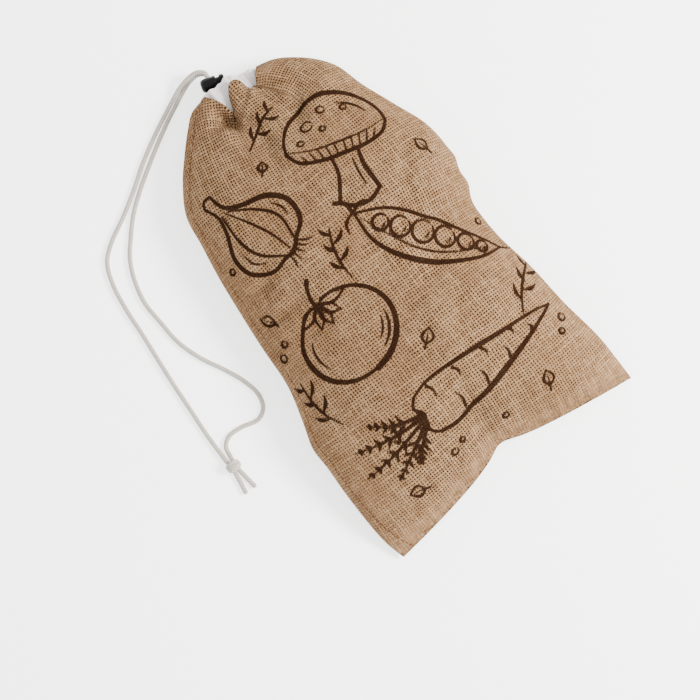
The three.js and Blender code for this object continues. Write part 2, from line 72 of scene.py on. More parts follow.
PHOTO_PIXELS = 700
PHOTO_MM_PER_PIXEL = 0.75
VIEW_ELEVATION = math.radians(84)
VIEW_UP = Vector((0.5888, 0.8083, 0.0))  # the photograph's upward direction on the floor
VIEW_CENTRE = Vector((-48.4, -24.1, 22.0)) * MM
LENS_MM = 120.0
SENSOR_MM = 36.0


def make_camera():
    data = bpy.data.cameras.new("photo_camera")
    data.lens = LENS_MM
    data.sensor_width = SENSOR_MM
    data.clip_end = 20.0
    camera = bpy.data.objects.new("photo_camera", data)
    bpy.context.scene.collection.objects.link(camera)
    forward = VIEW_UP * math.cos(VIEW_ELEVATION) - Vector((0, 0, math.sin(VIEW_ELEVATION)))
    right = Vector((VIEW_UP.y, -VIEW_UP.x, 0.0))
    turn = Matrix((right, right.cross(forward), -forward)).transposed().to_4x4()
    distance = PHOTO_PIXELS * PHOTO_MM_PER_PIXEL * MM * LENS_MM / SENSOR_MM
    camera.matrix_world = Matrix.Translation(VIEW_CENTRE - forward * distance) @ turn
    bpy.context.scene.camera = camera


make_camera()


# Smooth lines, grids and tubes

CURVE_STEPS = 24  # between two points of a route


def distance_along(points, axis=0):
    """Distance of each point from the first, measured from point to point."""
    steps = np.linalg.norm(np.diff(points, axis=axis), axis=-1)
    return np.insert(np.cumsum(steps, axis=axis), 0, 0, axis=axis)


def line_length(points):
    return float(distance_along(points)[-1])


def mixed(a, b, start, end, t):
    """In proportion between a, at the start, and b, at the end."""
    return (end - t) / (end - start) * a + (t - start) / (end - start) * b


def route_curve(route, steps):
    """Points along a centripetal Catmull-Rom curve through the route, at even distances."""
    points = np.array(route, float)
    ends = np.vstack([2 * points[0] - points[1], points, 2 * points[-1] - points[-2]])
    fine = []
    for a, b, c, d in zip(ends[:-3], ends[1:-2], ends[2:-1], ends[3:]):
        t0 = 0.0
        t1 = t0 + np.linalg.norm(b - a) ** 0.5
        t2 = t1 + np.linalg.norm(c - b) ** 0.5
        t3 = t2 + np.linalg.norm(d - c) ** 0.5
        t = np.linspace(t1, t2, CURVE_STEPS, endpoint=False)[:, None]
        bc = mixed(b, c, t1, t2, t)
        abc = mixed(mixed(a, b, t0, t1, t), bc, t0, t2, t)
        bcd = mixed(bc, mixed(c, d, t2, t3, t), t1, t3, t)
        fine.append(mixed(abc, bcd, t1, t2, t))
    fine = np.vstack(fine + [points[-1:]])
    along = distance_along(fine)
    even = np.linspace(0, along[-1], steps + 1)
    return np.stack([np.interp(even, along, fine[:, k]) for k in range(3)], axis=1)


def turning_frames(points):
    """The line's direction and two directions across it at each point, without twist."""
    tangents = np.gradient(points, axis=0)
    tangents /= np.linalg.norm(tangents, axis=1)[:, None]
    side = np.cross(tangents[0], (0.0, 0.0, 1.0))
    if np.linalg.norm(side) < 0.1:  # the line starts upright
        side = np.cross(tangents[0], (1.0, 0.0, 0.0))
    sides = []
    for tangent in tangents:
        side = side - tangent * np.dot(side, tangent)
        side /= np.linalg.norm(side)
        sides.append(side)
    sides = np.array(sides)
    return tangents, sides, np.cross(tangents, sides)


def grid_faces(rows, columns, wrap=False, first=0):
    """Quads of a grid of points, rows by columns, whose last column may meet the first."""
    j, i = np.meshgrid(np.arange(rows - 1), np.arange(columns if wrap else columns - 1), indexing="ij")
    here = j * columns + i
    after = j * columns + (i + 1) % columns
    quads = np.stack([here, after, after + columns, here + columns], -1)
    return (quads.reshape(-1, 4) + first).tolist()


def tube_faces(rows, columns):
    """Faces of a grid that is a tube, closed at both ends."""
    faces = grid_faces(rows, columns, wrap=True)
    faces.append(list(range(columns))[::-1])
    faces.append(list(range((rows - 1) * columns, rows * columns)))
    return faces


def plain_mesh(name, points, faces):
    """An object without a material, from points in millimetres."""
    mesh = bpy.data.meshes.new(name)
    mesh.from_pydata((np.asarray(points, float) * MM).tolist(), [], faces)
    mesh.update()
    obj = bpy.data.objects.new(name, mesh)
    bpy.context.scene.collection.objects.link(obj)
    return obj


def make_object(name, points, faces, material):
    """A smooth object that rides the bag."""
    obj = plain_mesh(name, points, faces)
    mesh = obj.data
    mesh.validate()
    mesh.materials.append(material)
    mesh.polygons.foreach_set("use_smooth", [True] * len(mesh.polygons))
    mesh.update()
    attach(obj, "bag")
    return obj


def set_attribute(obj, name, kind, values):
    attribute = obj.data.attributes.new(name, kind, "POINT")
    key = "vector" if kind == "FLOAT_VECTOR" else "value"
    attribute.data.foreach_set(key, np.asarray(values, float).ravel())


BRAID_PITCH = 7.0  # one turn of a yarn round the cord
BRAID_YARNS = 4  # each way
BRAID_SWELL = 0.03  # how far a yarn's back stands over the cord's radius
BRAID_GROOVE = 0.208  # depth between two yarns
CORD_SIDES = 32


def braided_tube(name, points, ends=(0.0, 0.0)):
    """A cord whose yarns cross over each other, closed at both ends."""
    tangents, sides, ups = turning_frames(points)
    along = distance_along(points)
    angle = np.linspace(0, 2 * np.pi, CORD_SIDES, endpoint=False)
    turn = 2 * np.pi * along[:, None] / BRAID_PITCH
    right_yarn = BRAID_YARNS * (angle - turn)
    left_yarn = BRAID_YARNS * (angle + turn)
    over = np.sin((right_yarn + left_yarn) / 2) * np.sin((right_yarn - left_yarn) / 2)
    lie = np.where(over > 0, np.abs(np.cos(right_yarn / 2)), np.abs(np.cos(left_yarn / 2)))
    radius = CORD_RADIUS + BRAID_SWELL - BRAID_GROOVE * (1 - np.sqrt(lie))
    around = np.cos(angle)[:, None] * sides[:, None] + np.sin(angle)[:, None] * ups[:, None]
    vertices = (points[:, None] + radius[..., None] * around).reshape(-1, 3)
    caps = [points[0] - tangents[0] * ends[0], points[-1] + tangents[-1] * ends[1]]
    faces = [face[::-1] for face in grid_faces(len(points), CORD_SIDES, wrap=True)]
    count = len(vertices)
    last = count - CORD_SIDES
    for k in range(CORD_SIDES):
        after = (k + 1) % CORD_SIDES
        faces += [[k, after, count], [last + after, last + k, count + 1]]
    obj = make_object(name, np.vstack([vertices, caps]), faces, CORD)
    yarn = np.stack([
        np.tile(angle / (2 * np.pi), len(points)), np.repeat(along, CORD_SIDES), lie.ravel(),
    ], axis=1)
    set_attribute(obj, "yarn", "FLOAT_VECTOR", np.vstack([yarn, yarn[:1], yarn[-1:]]))
    return obj


# Material nodes


class Value:
    """A number or colour that a node gives. Arithmetic with it makes further nodes."""

    def __init__(self, shader, socket):
        self.shader = shader
        self.socket = socket

    def __add__(self, other):
        return self.shader.math("ADD", self, other)

    def __sub__(self, other):
        return self.shader.math("SUBTRACT", self, other)

    def __rsub__(self, other):
        return self.shader.math("SUBTRACT", other, self)

    def __mul__(self, other):
        return self.shader.math("MULTIPLY", self, other)

    def __truediv__(self, other):
        return self.shader.math("DIVIDE", self, other)


class Shader:
    """A material's node tree, with short calls for the nodes that it needs."""

    def __init__(self, name):
        self.material = bpy.data.materials.new(name)
        self.material.use_nodes = True
        self.tree = self.material.node_tree
        self.surface = self.tree.nodes["Principled BSDF"].inputs

    def put(self, values, sockets):
        """Gives sockets, by name or number, their numbers, colours or other nodes' values."""
        for key, value in values.items():
            if isinstance(value, Value):
                self.tree.links.new(value.socket, sockets[key])
            else:
                sockets[key].default_value = (*value, 1.0) if isinstance(value, tuple) else value

    def node(self, kind, values, output=0, **settings):
        """Makes a node with its settings and inputs, and returns one of its outputs."""
        node = self.tree.nodes.new(kind)
        for name, setting in settings.items():
            setattr(node, name, setting)
        self.put(values, node.inputs)
        return Value(self, node.outputs[output])

    def math(self, operation, *values, clamp=False):
        return self.node("ShaderNodeMath", dict(enumerate(values)), operation=operation, use_clamp=clamp)

    def attribute(self, name, output):
        return self.node("ShaderNodeAttribute", {}, output, attribute_name=name)

    def object_place(self):
        return self.node("ShaderNodeTexCoord", {}, "Object")

    def parts(self, vector):
        split = self.node("ShaderNodeSeparateXYZ", {0: vector}).socket.node
        return [Value(self, output) for output in split.outputs]

    def vector(self, *values):
        return self.node("ShaderNodeCombineXYZ", dict(enumerate(values)))

    def noise(self, vector, scale, detail=2.0, roughness=0.5):
        values = {"Vector": vector, "Scale": scale, "Detail": detail, "Roughness": roughness}
        return self.node("ShaderNodeTexNoise", values)

    def mix(self, factor, a, b):
        return self.node("ShaderNodeMix", {0: factor, 6: a, 7: b}, 2, data_type="RGBA")

    def smooth(self, value, low, high):
        """0 below low, 1 above high, and a smooth step between."""
        values = {"Value": value, "From Min": low, "From Max": high}
        return self.node("ShaderNodeMapRange", values, interpolation_type="SMOOTHSTEP")

    def finish(self, colour, bump, roughness, specular, sheen=0.0):
        """Sets the surface. The bump has a height, a distance in metres and a strength."""
        height, distance, strength = bump
        normal = self.node("ShaderNodeBump", {"Height": height, "Distance": distance, "Strength": strength})
        self.put({
            "Base Color": colour, "Normal": normal, "Roughness": roughness,
            "Specular IOR Level": specular, "Sheen Weight": sheen,
        }, self.surface)
        return self.material


JUTE_LIGHT = (0.300, 0.185, 0.099)
JUTE_MID = (0.180, 0.098, 0.0465)
JUTE_RED = (0.145, 0.073, 0.033)
# Painted shade: near-black colour of the holes between threads and of threads dipping under others
JUTE_PAINTED_HOLE_SHADE = (0.015, 0.0045, 0.0016)
INK = (0.0065, 0.0011, 0.0005)
STITCH = (0.10, 0.032, 0.014)
STITCH_LENGTH = 4.2
STITCH_SHOWN = 0.62  # share of its length that lies on top
BEND_NOISE = 60.0
HAIR_NOISE = 900.0
PATCH_NOISE = 16.0
# Threads, in shares of their pitch: bend, reach of their hairs, half-width and its spread
THREAD_BEND = 1.1
THREAD_HAIRS = 0.34
THREAD_THIN = 0.135
THREAD_SPREAD = 0.34
PATCH_SPREAD = 0.12
# Heights of a thread: its lowest place, its roundness and its rise over the other thread
THREAD_BASE = 0.5
THREAD_ROUND = 0.6
THREAD_CREST = 0.42


def jute_material():
    """Open plain weave of uneven, hairy threads, with dark brown print on its raised threads. Its holes and
    the low places of its threads carry painted shade.
    """
    s = Shader("jute_weave")
    cloth = s.attribute("cloth", "Vector")
    u, v, from_stitches = s.parts(cloth)

    def thread_place(along, across, seed):
        """Place counted in threads, which bend and are hairy."""
        place = s.vector(across, along, seed)
        bend = s.noise(place, BEND_NOISE, 1.0) * THREAD_BEND
        hairs = (s.noise(place, HAIR_NOISE, 2.0, 0.6) - 0.5) * THREAD_HAIRS
        return along / (THREAD_PITCH * MM) + bend + hairs

    warps = thread_place(u, v, 0.0)
    wefts = thread_place(v, u, 3.0)
    column = s.math("FLOOR", warps)
    row = s.math("FLOOR", wefts)
    across = s.math("FRACT", warps) - 0.5
    along = s.math("FRACT", wefts) - 0.5
    sign = s.math("FLOORED_MODULO", column + row, 2.0) * 2.0 - 1.0
    warp_tone = s.noise(s.vector(column * 3.7, wefts * 0.13), 1.0)
    weft_tone = s.noise(s.vector(warps * 0.13, row * 4.3, 9.0), 1.0)
    patch = s.noise(cloth, PATCH_NOISE)
    spread = s.attribute("tight", "Fac") + (patch - 0.5) * PATCH_SPREAD

    def thread(offset, tone, crest):
        """Height of a thread, 0 beside it."""
        ratio = offset / (tone * THREAD_SPREAD + THREAD_THIN + spread)
        body = s.math("SUBTRACT", 1.0, ratio * ratio, clamp=True)
        height = s.math("SQRT", body) * THREAD_ROUND + crest * THREAD_CREST + THREAD_BASE
        return height * s.smooth(body, 0.0, 0.15)

    warp = thread(across, warp_tone, sign * s.math("COSINE", along * math.pi))
    weft = thread(along, weft_tone, sign * s.math("COSINE", across * math.pi) * -1.0)
    height = s.math("MAXIMUM", warp, weft)
    warp_on_top = s.math("GREATER_THAN", warp, weft)

    def on_top(warp_value, weft_value):
        return warp_on_top * (warp_value - weft_value) + weft_value

    def fibres(over, run, seed):
        return s.noise(s.vector(run * 2.6 + over * 15.0, run * 1.3, seed), 1.0, 3.0, 0.65)

    fibre = on_top(fibres(warps, wefts, 1.0), fibres(wefts, warps, 7.0))
    light = s.smooth(fibre * 0.9 + on_top(warp_tone, weft_tone), 0.72, 1.22)
    colour = s.mix(light, JUTE_MID, JUTE_LIGHT)
    colour = s.mix(s.smooth(patch, 0.42, 0.66) * 0.35, colour, JUTE_RED)
    ragged = (fibre - 0.5) * 1.3 + s.attribute("ink", "Fac") - (height - 0.85) * 0.5
    worn = 1.0 - s.smooth(fibre, 0.3, 0.75) * 0.14
    colour = s.mix((1.0 - s.smooth(ragged, -0.25, 0.3)) * worn, colour, INK)
    # Painted shade: the colour darkens toward the holes and where a thread dips under its neighbour
    colour = s.mix(s.smooth(height, 0.12, 1.3), JUTE_PAINTED_HOLE_SHADE, colour)
    dash = s.math("LESS_THAN", s.math("FRACT", v / (STITCH_LENGTH * MM)), STITCH_SHOWN)
    near = 1.0 - s.smooth(s.math("ABSOLUTE", from_stitches), 0.5 * MM, 0.8 * MM)
    colour = s.mix(dash * near * 0.85, colour, STITCH)
    return s.finish(colour, (fibre * 0.34 + height, 0.0006, 0.9), roughness=0.95, specular=0.02)


COTTON_SHADE = (0.60, 0.56, 0.545)
COTTON_LIGHT = (0.76, 0.71, 0.70)
COTTON_THREADS = 9000.0  # radians of the weave's waves in a metre


def cotton_material():
    s = Shader("white_cotton")
    place = s.object_place()
    x, y, _ = s.parts(place)
    weave = s.math("SINE", x * COTTON_THREADS) * s.math("SINE", y * COTTON_THREADS)
    height = weave * 0.3 + s.noise(place, 2600.0)
    colour = s.mix(s.noise(place, 90.0), COTTON_SHADE, COTTON_LIGHT)
    return s.finish(colour, (height, 0.00012, 0.7), roughness=0.9, specular=0.2, sheen=0.2)


# Painted shade in the grooves between the cord's yarns
CORD_GROOVE_SHADE = (0.165, 0.143, 0.115)
CORD_YARN = (0.55, 0.505, 0.445)
CORD_FIBRE = (0.38, 0.345, 0.295)
CORD_SOIL = (0.38, 0.335, 0.28)


def cord_material():
    s = Shader("braided_cotton_cord")
    round_cord, along, lie = s.parts(s.attribute("yarn", "Vector"))
    fibre = s.noise(s.vector(round_cord * 90.0, along * 5.0), 1.0, 3.0, 0.6)
    soil = s.smooth(s.noise(s.object_place(), 45.0), 0.5, 0.8)
    # Painted shade: the cord darkens in the grooves between its yarns
    colour = s.mix(s.smooth(lie, 0.0, 0.75), CORD_GROOVE_SHADE, CORD_YARN)
    colour = s.mix(fibre * 0.35, colour, CORD_FIBRE)
    colour = s.mix(soil * 0.4, colour, CORD_SOIL)
    return s.finish(colour, (fibre, 0.00012, 0.6), roughness=0.85, specular=0.25, sheen=0.15)


LOCK_DARK = (0.0012, 0.0012, 0.0015)
LOCK_WORN = (0.003, 0.003, 0.0036)


def lock_material():
    s = Shader("black_moulded_plastic")
    wear = s.noise(s.object_place(), 160.0, 3.0)
    grain = s.noise(s.object_place(), 1800.0, 3.0)
    colour = s.mix(wear, LOCK_DARK, LOCK_WORN)
    return s.finish(colour, (grain, 0.00004, 0.35), roughness=wear * 0.16 + 0.24, specular=0.12)


JUTE = jute_material()
COTTON = cotton_material()
CORD = cord_material()
LOCK = lock_material()


# Cords, first of all pieces

LOCK_REACH = 13.5
RING_Z = 14.57
UPPER_Z = RING_Z + STRAND_PITCH / 2
LOWER_Z = RING_Z - STRAND_PITCH / 2
FLOOR_Z = CORD_RADIUS + 0.1
LOCK_CENTRE = np.array([-14.1, RIM_Y + LOCK_REACH, 0.0])
KNOT_CENTRE = LOCK_CENTRE + (-156.0, -245.9, KNOT_SIZE * 0.4)
CORD_STEP = 0.45
ROUGH_STEPS = 400


def on_floor(*places):
    return [(x, y, FLOOR_Z) for x, y in places]


# Points are across and along from the crossing in the lock, and above the floor, as in the frame
OUTER_ROUTE = [
    (1.7, 6.2, UPPER_Z), (1.4, 9.5, UPPER_Z - 0.3), (-3.2, 13.5, 14.6), (-10.7, 14.5, 10.6),
    (-21.5, 12.5, 6.1), (-31, 8.5, 3.2), (-39, 4.7, 2.1),
    *on_floor(
        (-58, -5.5), (-77.5, -17.5), (-94, -29.5), (-113, -42), (-132, -53), (-143, -63),
        (-149.5, -80), (-152.5, -102.5), (-153.5, -123.5), (-155, -145), (-156.5, -167.5),
        (-157.5, -192), (-158.5, -216),
    ),
    (-158.3, -239.3, FLOOR_Z + 0.9),
]
INNER_ROUTE = [
    (1.7, 6.2, LOWER_Z), (1.4, 9.1, LOWER_Z - 0.3), (-3.1, 12.3, 10.6), (-10.9, 12.7, 6.9),
    (-22, 8.8, 3.2), (-31, 4.3, 2),
    *on_floor(
        (-38.5, 0.5), (-56.5, -10), (-75, -22), (-91.5, -33.5), (-106, -45.5), (-118.5, -59.5),
        (-127, -70.5), (-134, -86), (-138, -105.5), (-137, -124), (-135, -144.5),
        (-128.5, -164), (-118.5, -183), (-112, -198), (-109, -212.5), (-112, -223),
        (-120, -228), (-134, -225.5), (-145.5, -225.5), (-152, -230.5),
    ),
    (-153.7, -239.3, FLOOR_Z + 0.9),
]


def cord_line(route):
    """Points on the route's curve, one cord step apart."""
    length = line_length(route_curve(route, ROUGH_STEPS))
    return route_curve(route, int(length / CORD_STEP))


def make_strand(name, node, route):
    points = cord_line(np.array(route) + LOCK_CENTRE)
    obj = braided_tube(name, points)
    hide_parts(node)


KNOT_RADIUS = KNOT_SIZE * 0.27
KNOT_TURNS = 1.3
KNOT_LOOPS = [(-1.3, 0.25, 0.0), (1.3, 0.2, 0.9), (0.0, -0.55, 2.0)]  # place, lean and phase


def make_knot():
    """A doubled overhand knot with two short tails, lying on the floor."""
    floor = FLOOR_Z - KNOT_CENTRE[2]
    angle = 2 * np.pi * (KNOT_TURNS * np.linspace(0, 1, 60) - 0.25)
    lines = []
    for place, lean, phase in KNOT_LOOPS:
        lines.append(KNOT_RADIUS * np.stack([
            1.25 * np.cos(angle + phase),
            place / KNOT_RADIUS + 1.4 * lean * np.sin(angle + phase),
            np.sin(angle + phase),
        ], axis=1))
    for side in (-1, 1):
        lines.append(route_curve([
            (side * 2.3, 6.75, floor + 0.95), (side * 2.0, 4.2, floor + 1.5), (side * 1.2, 0.5, -0.6),
        ], 16))
        lines.append(route_curve([
            (side * 1.0, KNOT_SIZE * 0.1, 0.3), (side * 1.9, -KNOT_SIZE * 0.42, floor + 0.6),
            (side * 3.0, -KNOT_SIZE * 0.5 - TAIL_LENGTH * 0.45, floor),
            (side * 4.2, -KNOT_SIZE * 0.5 - TAIL_LENGTH, floor),
        ], 50))
    return join_objects("drawcord_knot_braided", [
        braided_tube(f"knot_part_{k}", line + KNOT_CENTRE, ends=(0.4, 0.8)) for k, line in enumerate(lines)
    ])


def make_active(*objects):
    """Selects these objects alone, and makes the first of them active."""
    bpy.ops.object.select_all(action="DESELECT")
    for obj in objects:
        obj.select_set(True)
    bpy.context.view_layer.objects.active = objects[0]


def join_objects(name, pieces):
    """One object of several, which share their attributes and material."""
    make_active(*pieces)
    bpy.ops.object.join()
    pieces[0].name = name
    pieces[0].data.name = name
    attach(pieces[0], "bag")
    return pieces[0]


knot = make_knot()
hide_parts("drawcord_knot")
make_strand("outer_strand", "drawcord_outer_strand", OUTER_ROUTE)
make_strand("inner_strand", "drawcord_inner_strand", INNER_ROUTE)


# Form of the bag: sections from the bottom seam to the rim, as in the frame

SECTIONS = {
    "along": [-0.01, 0.038, 0.095, 0.18, 0.267, 0.355, 0.444, 0.524, 0.595, 0.663, 0.731, 0.797, 0.858,
              0.914, 0.962, 1.0],
    "left_lag": [0.077, 0.076, 0.063, 0.035, 0.005, -0.017, -0.036, -0.056, -0.071, -0.084, -0.089,
                 -0.089, -0.083, -0.068, -0.05, -0.025],
    "right_lag": [0.054, 0.05, 0.037, 0.017, -0.007, -0.023, -0.039, -0.059, -0.074, -0.093, -0.102,
                  -0.102, -0.086, -0.067, -0.04, -0.011],
    "bow": [0.5, 0.65, 0.95, 1.4, 1.8] + [2.0] * 11,
    "left": [-0.962, -1.003, -1.024, -1.029, -0.996, -0.922, -0.908, -0.888, -0.865, -0.831, -0.8,
             -0.69, -0.557, -0.446, -0.35, -0.234],
    "right": [1.01, 1.005, 0.987, 0.922, 0.891, 0.838, 0.838, 0.915, 0.904, 0.803, 0.71, 0.65, 0.556,
              0.426, 0.317, 0.2],
    "crown": [0.8, 0.8, 0.84, 0.92, 0.99, 1.0, 0.97, 0.98, 1.0, 0.98, 0.92, 0.84, 0.75, 0.67, 0.61, 0.58],
    "seam": [0.08, 0.12, 0.2, 0.28, 0.33, 0.34, 0.33, 0.34, 0.35, 0.35, 0.34, 0.33, 0.32, 0.31, 0.29,
             0.28],
    "floor": [0.0] * 13 + [0.01, 0.03, 0.05],
}
RIM_FRONT = {
    "around": [-1, -0.88, -0.76, -0.64, -0.54, -0.46, -0.4, -0.34, -0.26, -0.16, -0.06, 0.04, 0.14, 0.22,
               0.3, 0.4, 0.55, 0.7, 0.85, 1],
    "across": [-0.54, -0.53, -0.47, -0.39, -0.335, -0.315, -0.31, -0.29, -0.25, -0.2, -0.115, 0, 0.08,
               0.12, 0.165, 0.22, 0.28, 0.345, 0.41, 0.46],
    "drop": [-0.19, -0.16, -0.02, 0.19, 0.39, 0.56, 0.65, 0.58, 0.36, 0.17, 0.01, -0.03, 0.04, 0.19,
             0.33, 0.37, 0.28, 0.14, 0.03, -0.1],
    "height": [0.48, 0.74, 0.93, 1, 0.98, 0.88, 0.79, 0.8, 0.86, 0.93, 0.99, 1, 0.95, 0.86, 0.79, 0.8,
               0.9, 0.95, 0.84, 0.48],
}
# Dents: across and along, length, width, turn in degrees and depth. Across, length and width are
# shares of half the bag's width, along is a share of its length and depth of the belly's height
DENTS = [
    (-0.8, 0.585, 0.22, 0.035, -6, 0.09), (-0.76, 0.5, 0.2, 0.035, 4, 0.09),
    (-0.72, 0.54, 0.16, 0.06, 0, -0.05), (-0.1, 0.84, 0.2, 0.08, 80, 0.1),
    (-0.35, 0.87, 0.16, 0.07, 130, 0.07), (0.24, 0.88, 0.2, 0.05, 60, 0.07),
    (0.4, 0.86, 0.2, 0.06, 35, -0.05), (0.62, 0.49, 0.24, 0.05, -14, 0.08),
    (0.55, 0.56, 0.2, 0.07, -30, -0.04), (0.1, 0.36, 0.4, 0.09, 20, 0.05),
    (-0.35, 0.3, 0.3, 0.07, -35, 0.05), (0.6, 0.2, 0.3, 0.08, 50, 0.06),
    (-0.65, 0.16, 0.28, 0.07, -50, 0.06), (0, 0.1, 0.22, 0.08, 90, 0.05),
]
CROWN_POWER = 2.4
CROWN_ROUNDNESS = 0.62
CROWN_END = (2.2, 0.6)  # how steeply and how fully the crown rises from the bottom seam
FLOOR_SPREAD = 1.15  # how much of the back lies flat
END_ROUND = 0.22  # share of the length over which the crown rises from the bottom seam
NECK_REACH = 0.24  # share of the length over which the neck is drawn together
BACK_PLEATS = 4
BACK_PLEAT_DEPTH = 0.04  # share of the neck's height
BACK_DROP = 1.3
BOTTOM_SEAM_LIFT = 0.11  # of its middle, in shares of the belly's height
PINCHED_END = 0.3  # share of the length where each inner skin keeps to its side of the seam
NOTCH_ROUND = 0.06
NOTCH_BLUNT = 0.012


def table_at(table, name, place):
    """A table's column at places between its rows, on a smooth curve."""
    values = np.array(table[name])
    last = len(values) - 1
    i = np.minimum(np.floor(place).astype(int), last - 1)
    a, b, c, d = (values[np.clip(i + k, 0, last)] for k in (-1, 0, 1, 2))
    t = place - i
    slope_b = (c - a) / 2
    slope_c = (d - b) / 2
    return ((2 * t**3 - 3 * t**2 + 1) * b + (t**3 - 2 * t**2 + t) * slope_b
            + (3 * t**2 - 2 * t**3) * c + (t**3 - t**2) * slope_c)


def hollow(dx, dy, length, width, degrees):
    """A smooth oval hollow of depth 1, at distances from its middle."""
    turn = math.radians(degrees)
    along = (dx * math.cos(turn) + dy * math.sin(turn)) / length
    across = (dy * math.cos(turn) - dx * math.sin(turn)) / width
    return np.exp(-(along**2) - across**2)


def dent_depth(x, y):
    depth = np.zeros_like(x)
    for at_x, at_y, length, width, degrees, deep in DENTS:
        dx = x - at_x * HALF_WIDTH
        dy = y - (BOTTOM_SEAM_Y + at_y * BAG_LENGTH)
        depth += deep * BELLY_HEIGHT * hollow(dx, dy, length * HALF_WIDTH, width * HALF_WIDTH, degrees)
    return depth


def seam_height(u, v):
    place = v * (len(SECTIONS["along"]) - 1)
    from_end = np.clip(table_at(SECTIONS, "along", place) / END_ROUND, 0, 1)
    lift = BOTTOM_SEAM_LIFT * (1 - u * u) * (1 - from_end)
    return BELLY_HEIGHT * (table_at(SECTIONS, "seam", place) + lift)


def trail(u, bow):
    """How far a section trails at u, from 0 in its middle to 1 at its edges."""
    distance = (np.hypot(u, NOTCH_ROUND) - NOTCH_ROUND) / (math.hypot(1, NOTCH_ROUND) - NOTCH_ROUND)
    start = NOTCH_BLUNT**bow
    return (np.hypot(distance, NOTCH_BLUNT) ** bow - start) / (math.hypot(1, NOTCH_BLUNT) ** bow - start)


# Small swellings of the sides: side, place along the bag, half-length and size
SIDE_SWELLS = [(1, 48.0, 8.0, 1.6), (1, 26.0, 9.0, 4.0), (1, -88.0, 32.0, 1.2), (-1, -68.0, 13.0, 2.5)]


def skin_point(u, v, is_front):
    """Points of the bag's skin: u across from seam to seam, v from the bottom seam to the rim."""
    place = v * (len(SECTIONS["along"]) - 1)
    row = {name: table_at(SECTIONS, name, place) for name in SECTIONS}
    edge = np.abs(u)
    lag = np.where(u < 0, row["left_lag"], row["right_lag"])
    x = HALF_WIDTH * (row["left"] + (row["right"] - row["left"]) * (u + 1) / 2)
    y = BOTTOM_SEAM_Y + BAG_LENGTH * (row["along"] - lag * trail(u, row["bow"]))
    for side, middle, length, size in SIDE_SWELLS:
        x = x + side * size * np.exp(-(((y - middle) / length) ** 2)) * np.maximum(0, side * u) ** 3
    from_end = np.clip(row["along"] / END_ROUND, 0, 1)
    end_lift = (1 - (1 - from_end) ** CROWN_END[0]) ** CROWN_END[1]
    seam_z = seam_height(u, v)
    gather = np.maximum(0, 1 - (1 - row["along"]) / NECK_REACH) ** 2
    rim_lag = np.where(u < 0, SECTIONS["left_lag"][-1], SECTIONS["right_lag"][-1])
    rim_left, rim_right = SECTIONS["left"][-1], SECTIONS["right"][-1]
    if is_front:
        bulge = np.maximum(0, 1 - edge**CROWN_POWER) ** CROWN_ROUNDNESS
        swell = bulge * end_lift
        z = seam_z + (row["crown"] * BELLY_HEIGHT - seam_z) * swell
        z = z - dent_depth(x, y) * swell * (1 - gather)
        rim_place = np.interp(u, RIM_FRONT["around"], np.arange(len(RIM_FRONT["around"])))
        plain_seam, plain_crown = SECTIONS["seam"][-1], SECTIONS["crown"][-1]
        plain = (
            HALF_WIDTH * (rim_left + (rim_right - rim_left) * (u + 1) / 2),
            RIM_Y - BAG_LENGTH * rim_lag * trail(u, 2.0),
            BELLY_HEIGHT * (plain_seam + (plain_crown - plain_seam) * bulge),
        )
        gathered = (
            table_at(RIM_FRONT, "across", rim_place) * NECK_WIDTH,
            RIM_Y - table_at(RIM_FRONT, "drop", rim_place) * NECK_HEIGHT,
            table_at(RIM_FRONT, "height", rim_place) * NECK_HEIGHT,
        )
        return np.stack([
            value + (to - start) * gather for value, to, start in zip((x, y, z), gathered, plain)
        ], axis=-1)
    flat = np.minimum(1, FLOOR_SPREAD * np.sqrt(np.maximum(0, 1 - edge**4)))
    pleat = (0.5 - 0.5 * np.cos(BACK_PLEATS * np.pi * (u + 1))) * BACK_PLEAT_DEPTH * NECK_HEIGHT
    floor_z = np.maximum(0, row["floor"] * BELLY_HEIGHT)
    drop = (seam_z - floor_z + pleat * gather) * flat * np.minimum(1, end_lift * BACK_DROP)
    z = np.maximum(0, seam_z - drop)
    end = np.where(u < 0, 0, -1)
    ends = {name: np.array(RIM_FRONT[name])[end] for name in RIM_FRONT}
    plain_x = HALF_WIDTH * np.where(u < 0, rim_left, rim_right)
    plain_y = RIM_Y - BAG_LENGTH * rim_lag
    shift = gather * edge**3
    return np.stack([
        x + (ends["across"] * NECK_WIDTH - plain_x) * shift,
        y + (RIM_Y - ends["drop"] * NECK_HEIGHT - plain_y) * shift,
        z + (ends["height"] * NECK_HEIGHT - SECTIONS["seam"][-1] * BELLY_HEIGHT) * shift,
    ], axis=-1)


def unit(vectors):
    return vectors / np.maximum(np.linalg.norm(vectors, axis=-1, keepdims=True), 1e-9)


def skin_normals(points, is_front):
    """Outward normals of a grid of points. Along the seams they lie in the bag's plane."""
    across = np.gradient(points, axis=1)
    along = np.gradient(points, axis=0)
    normals = unit(np.cross(across, along))
    if not is_front:
        normals = -normals
    for column, side in ((0, -1), (-1, 1)):
        edge = along[:, column]
        normals[:, column] = unit(np.stack([side * edge[:, 1], -side * edge[:, 0], 0 * edge[:, 0]], -1))
    bottom = across[0, 1:-1]
    normals[0, 1:-1] = unit(np.stack([bottom[:, 1], -bottom[:, 0], 0 * bottom[:, 0]], -1))
    for column in (0, -1):
        normals[0, column] = unit(normals[0, column] + (0, -1, 0))
    return normals


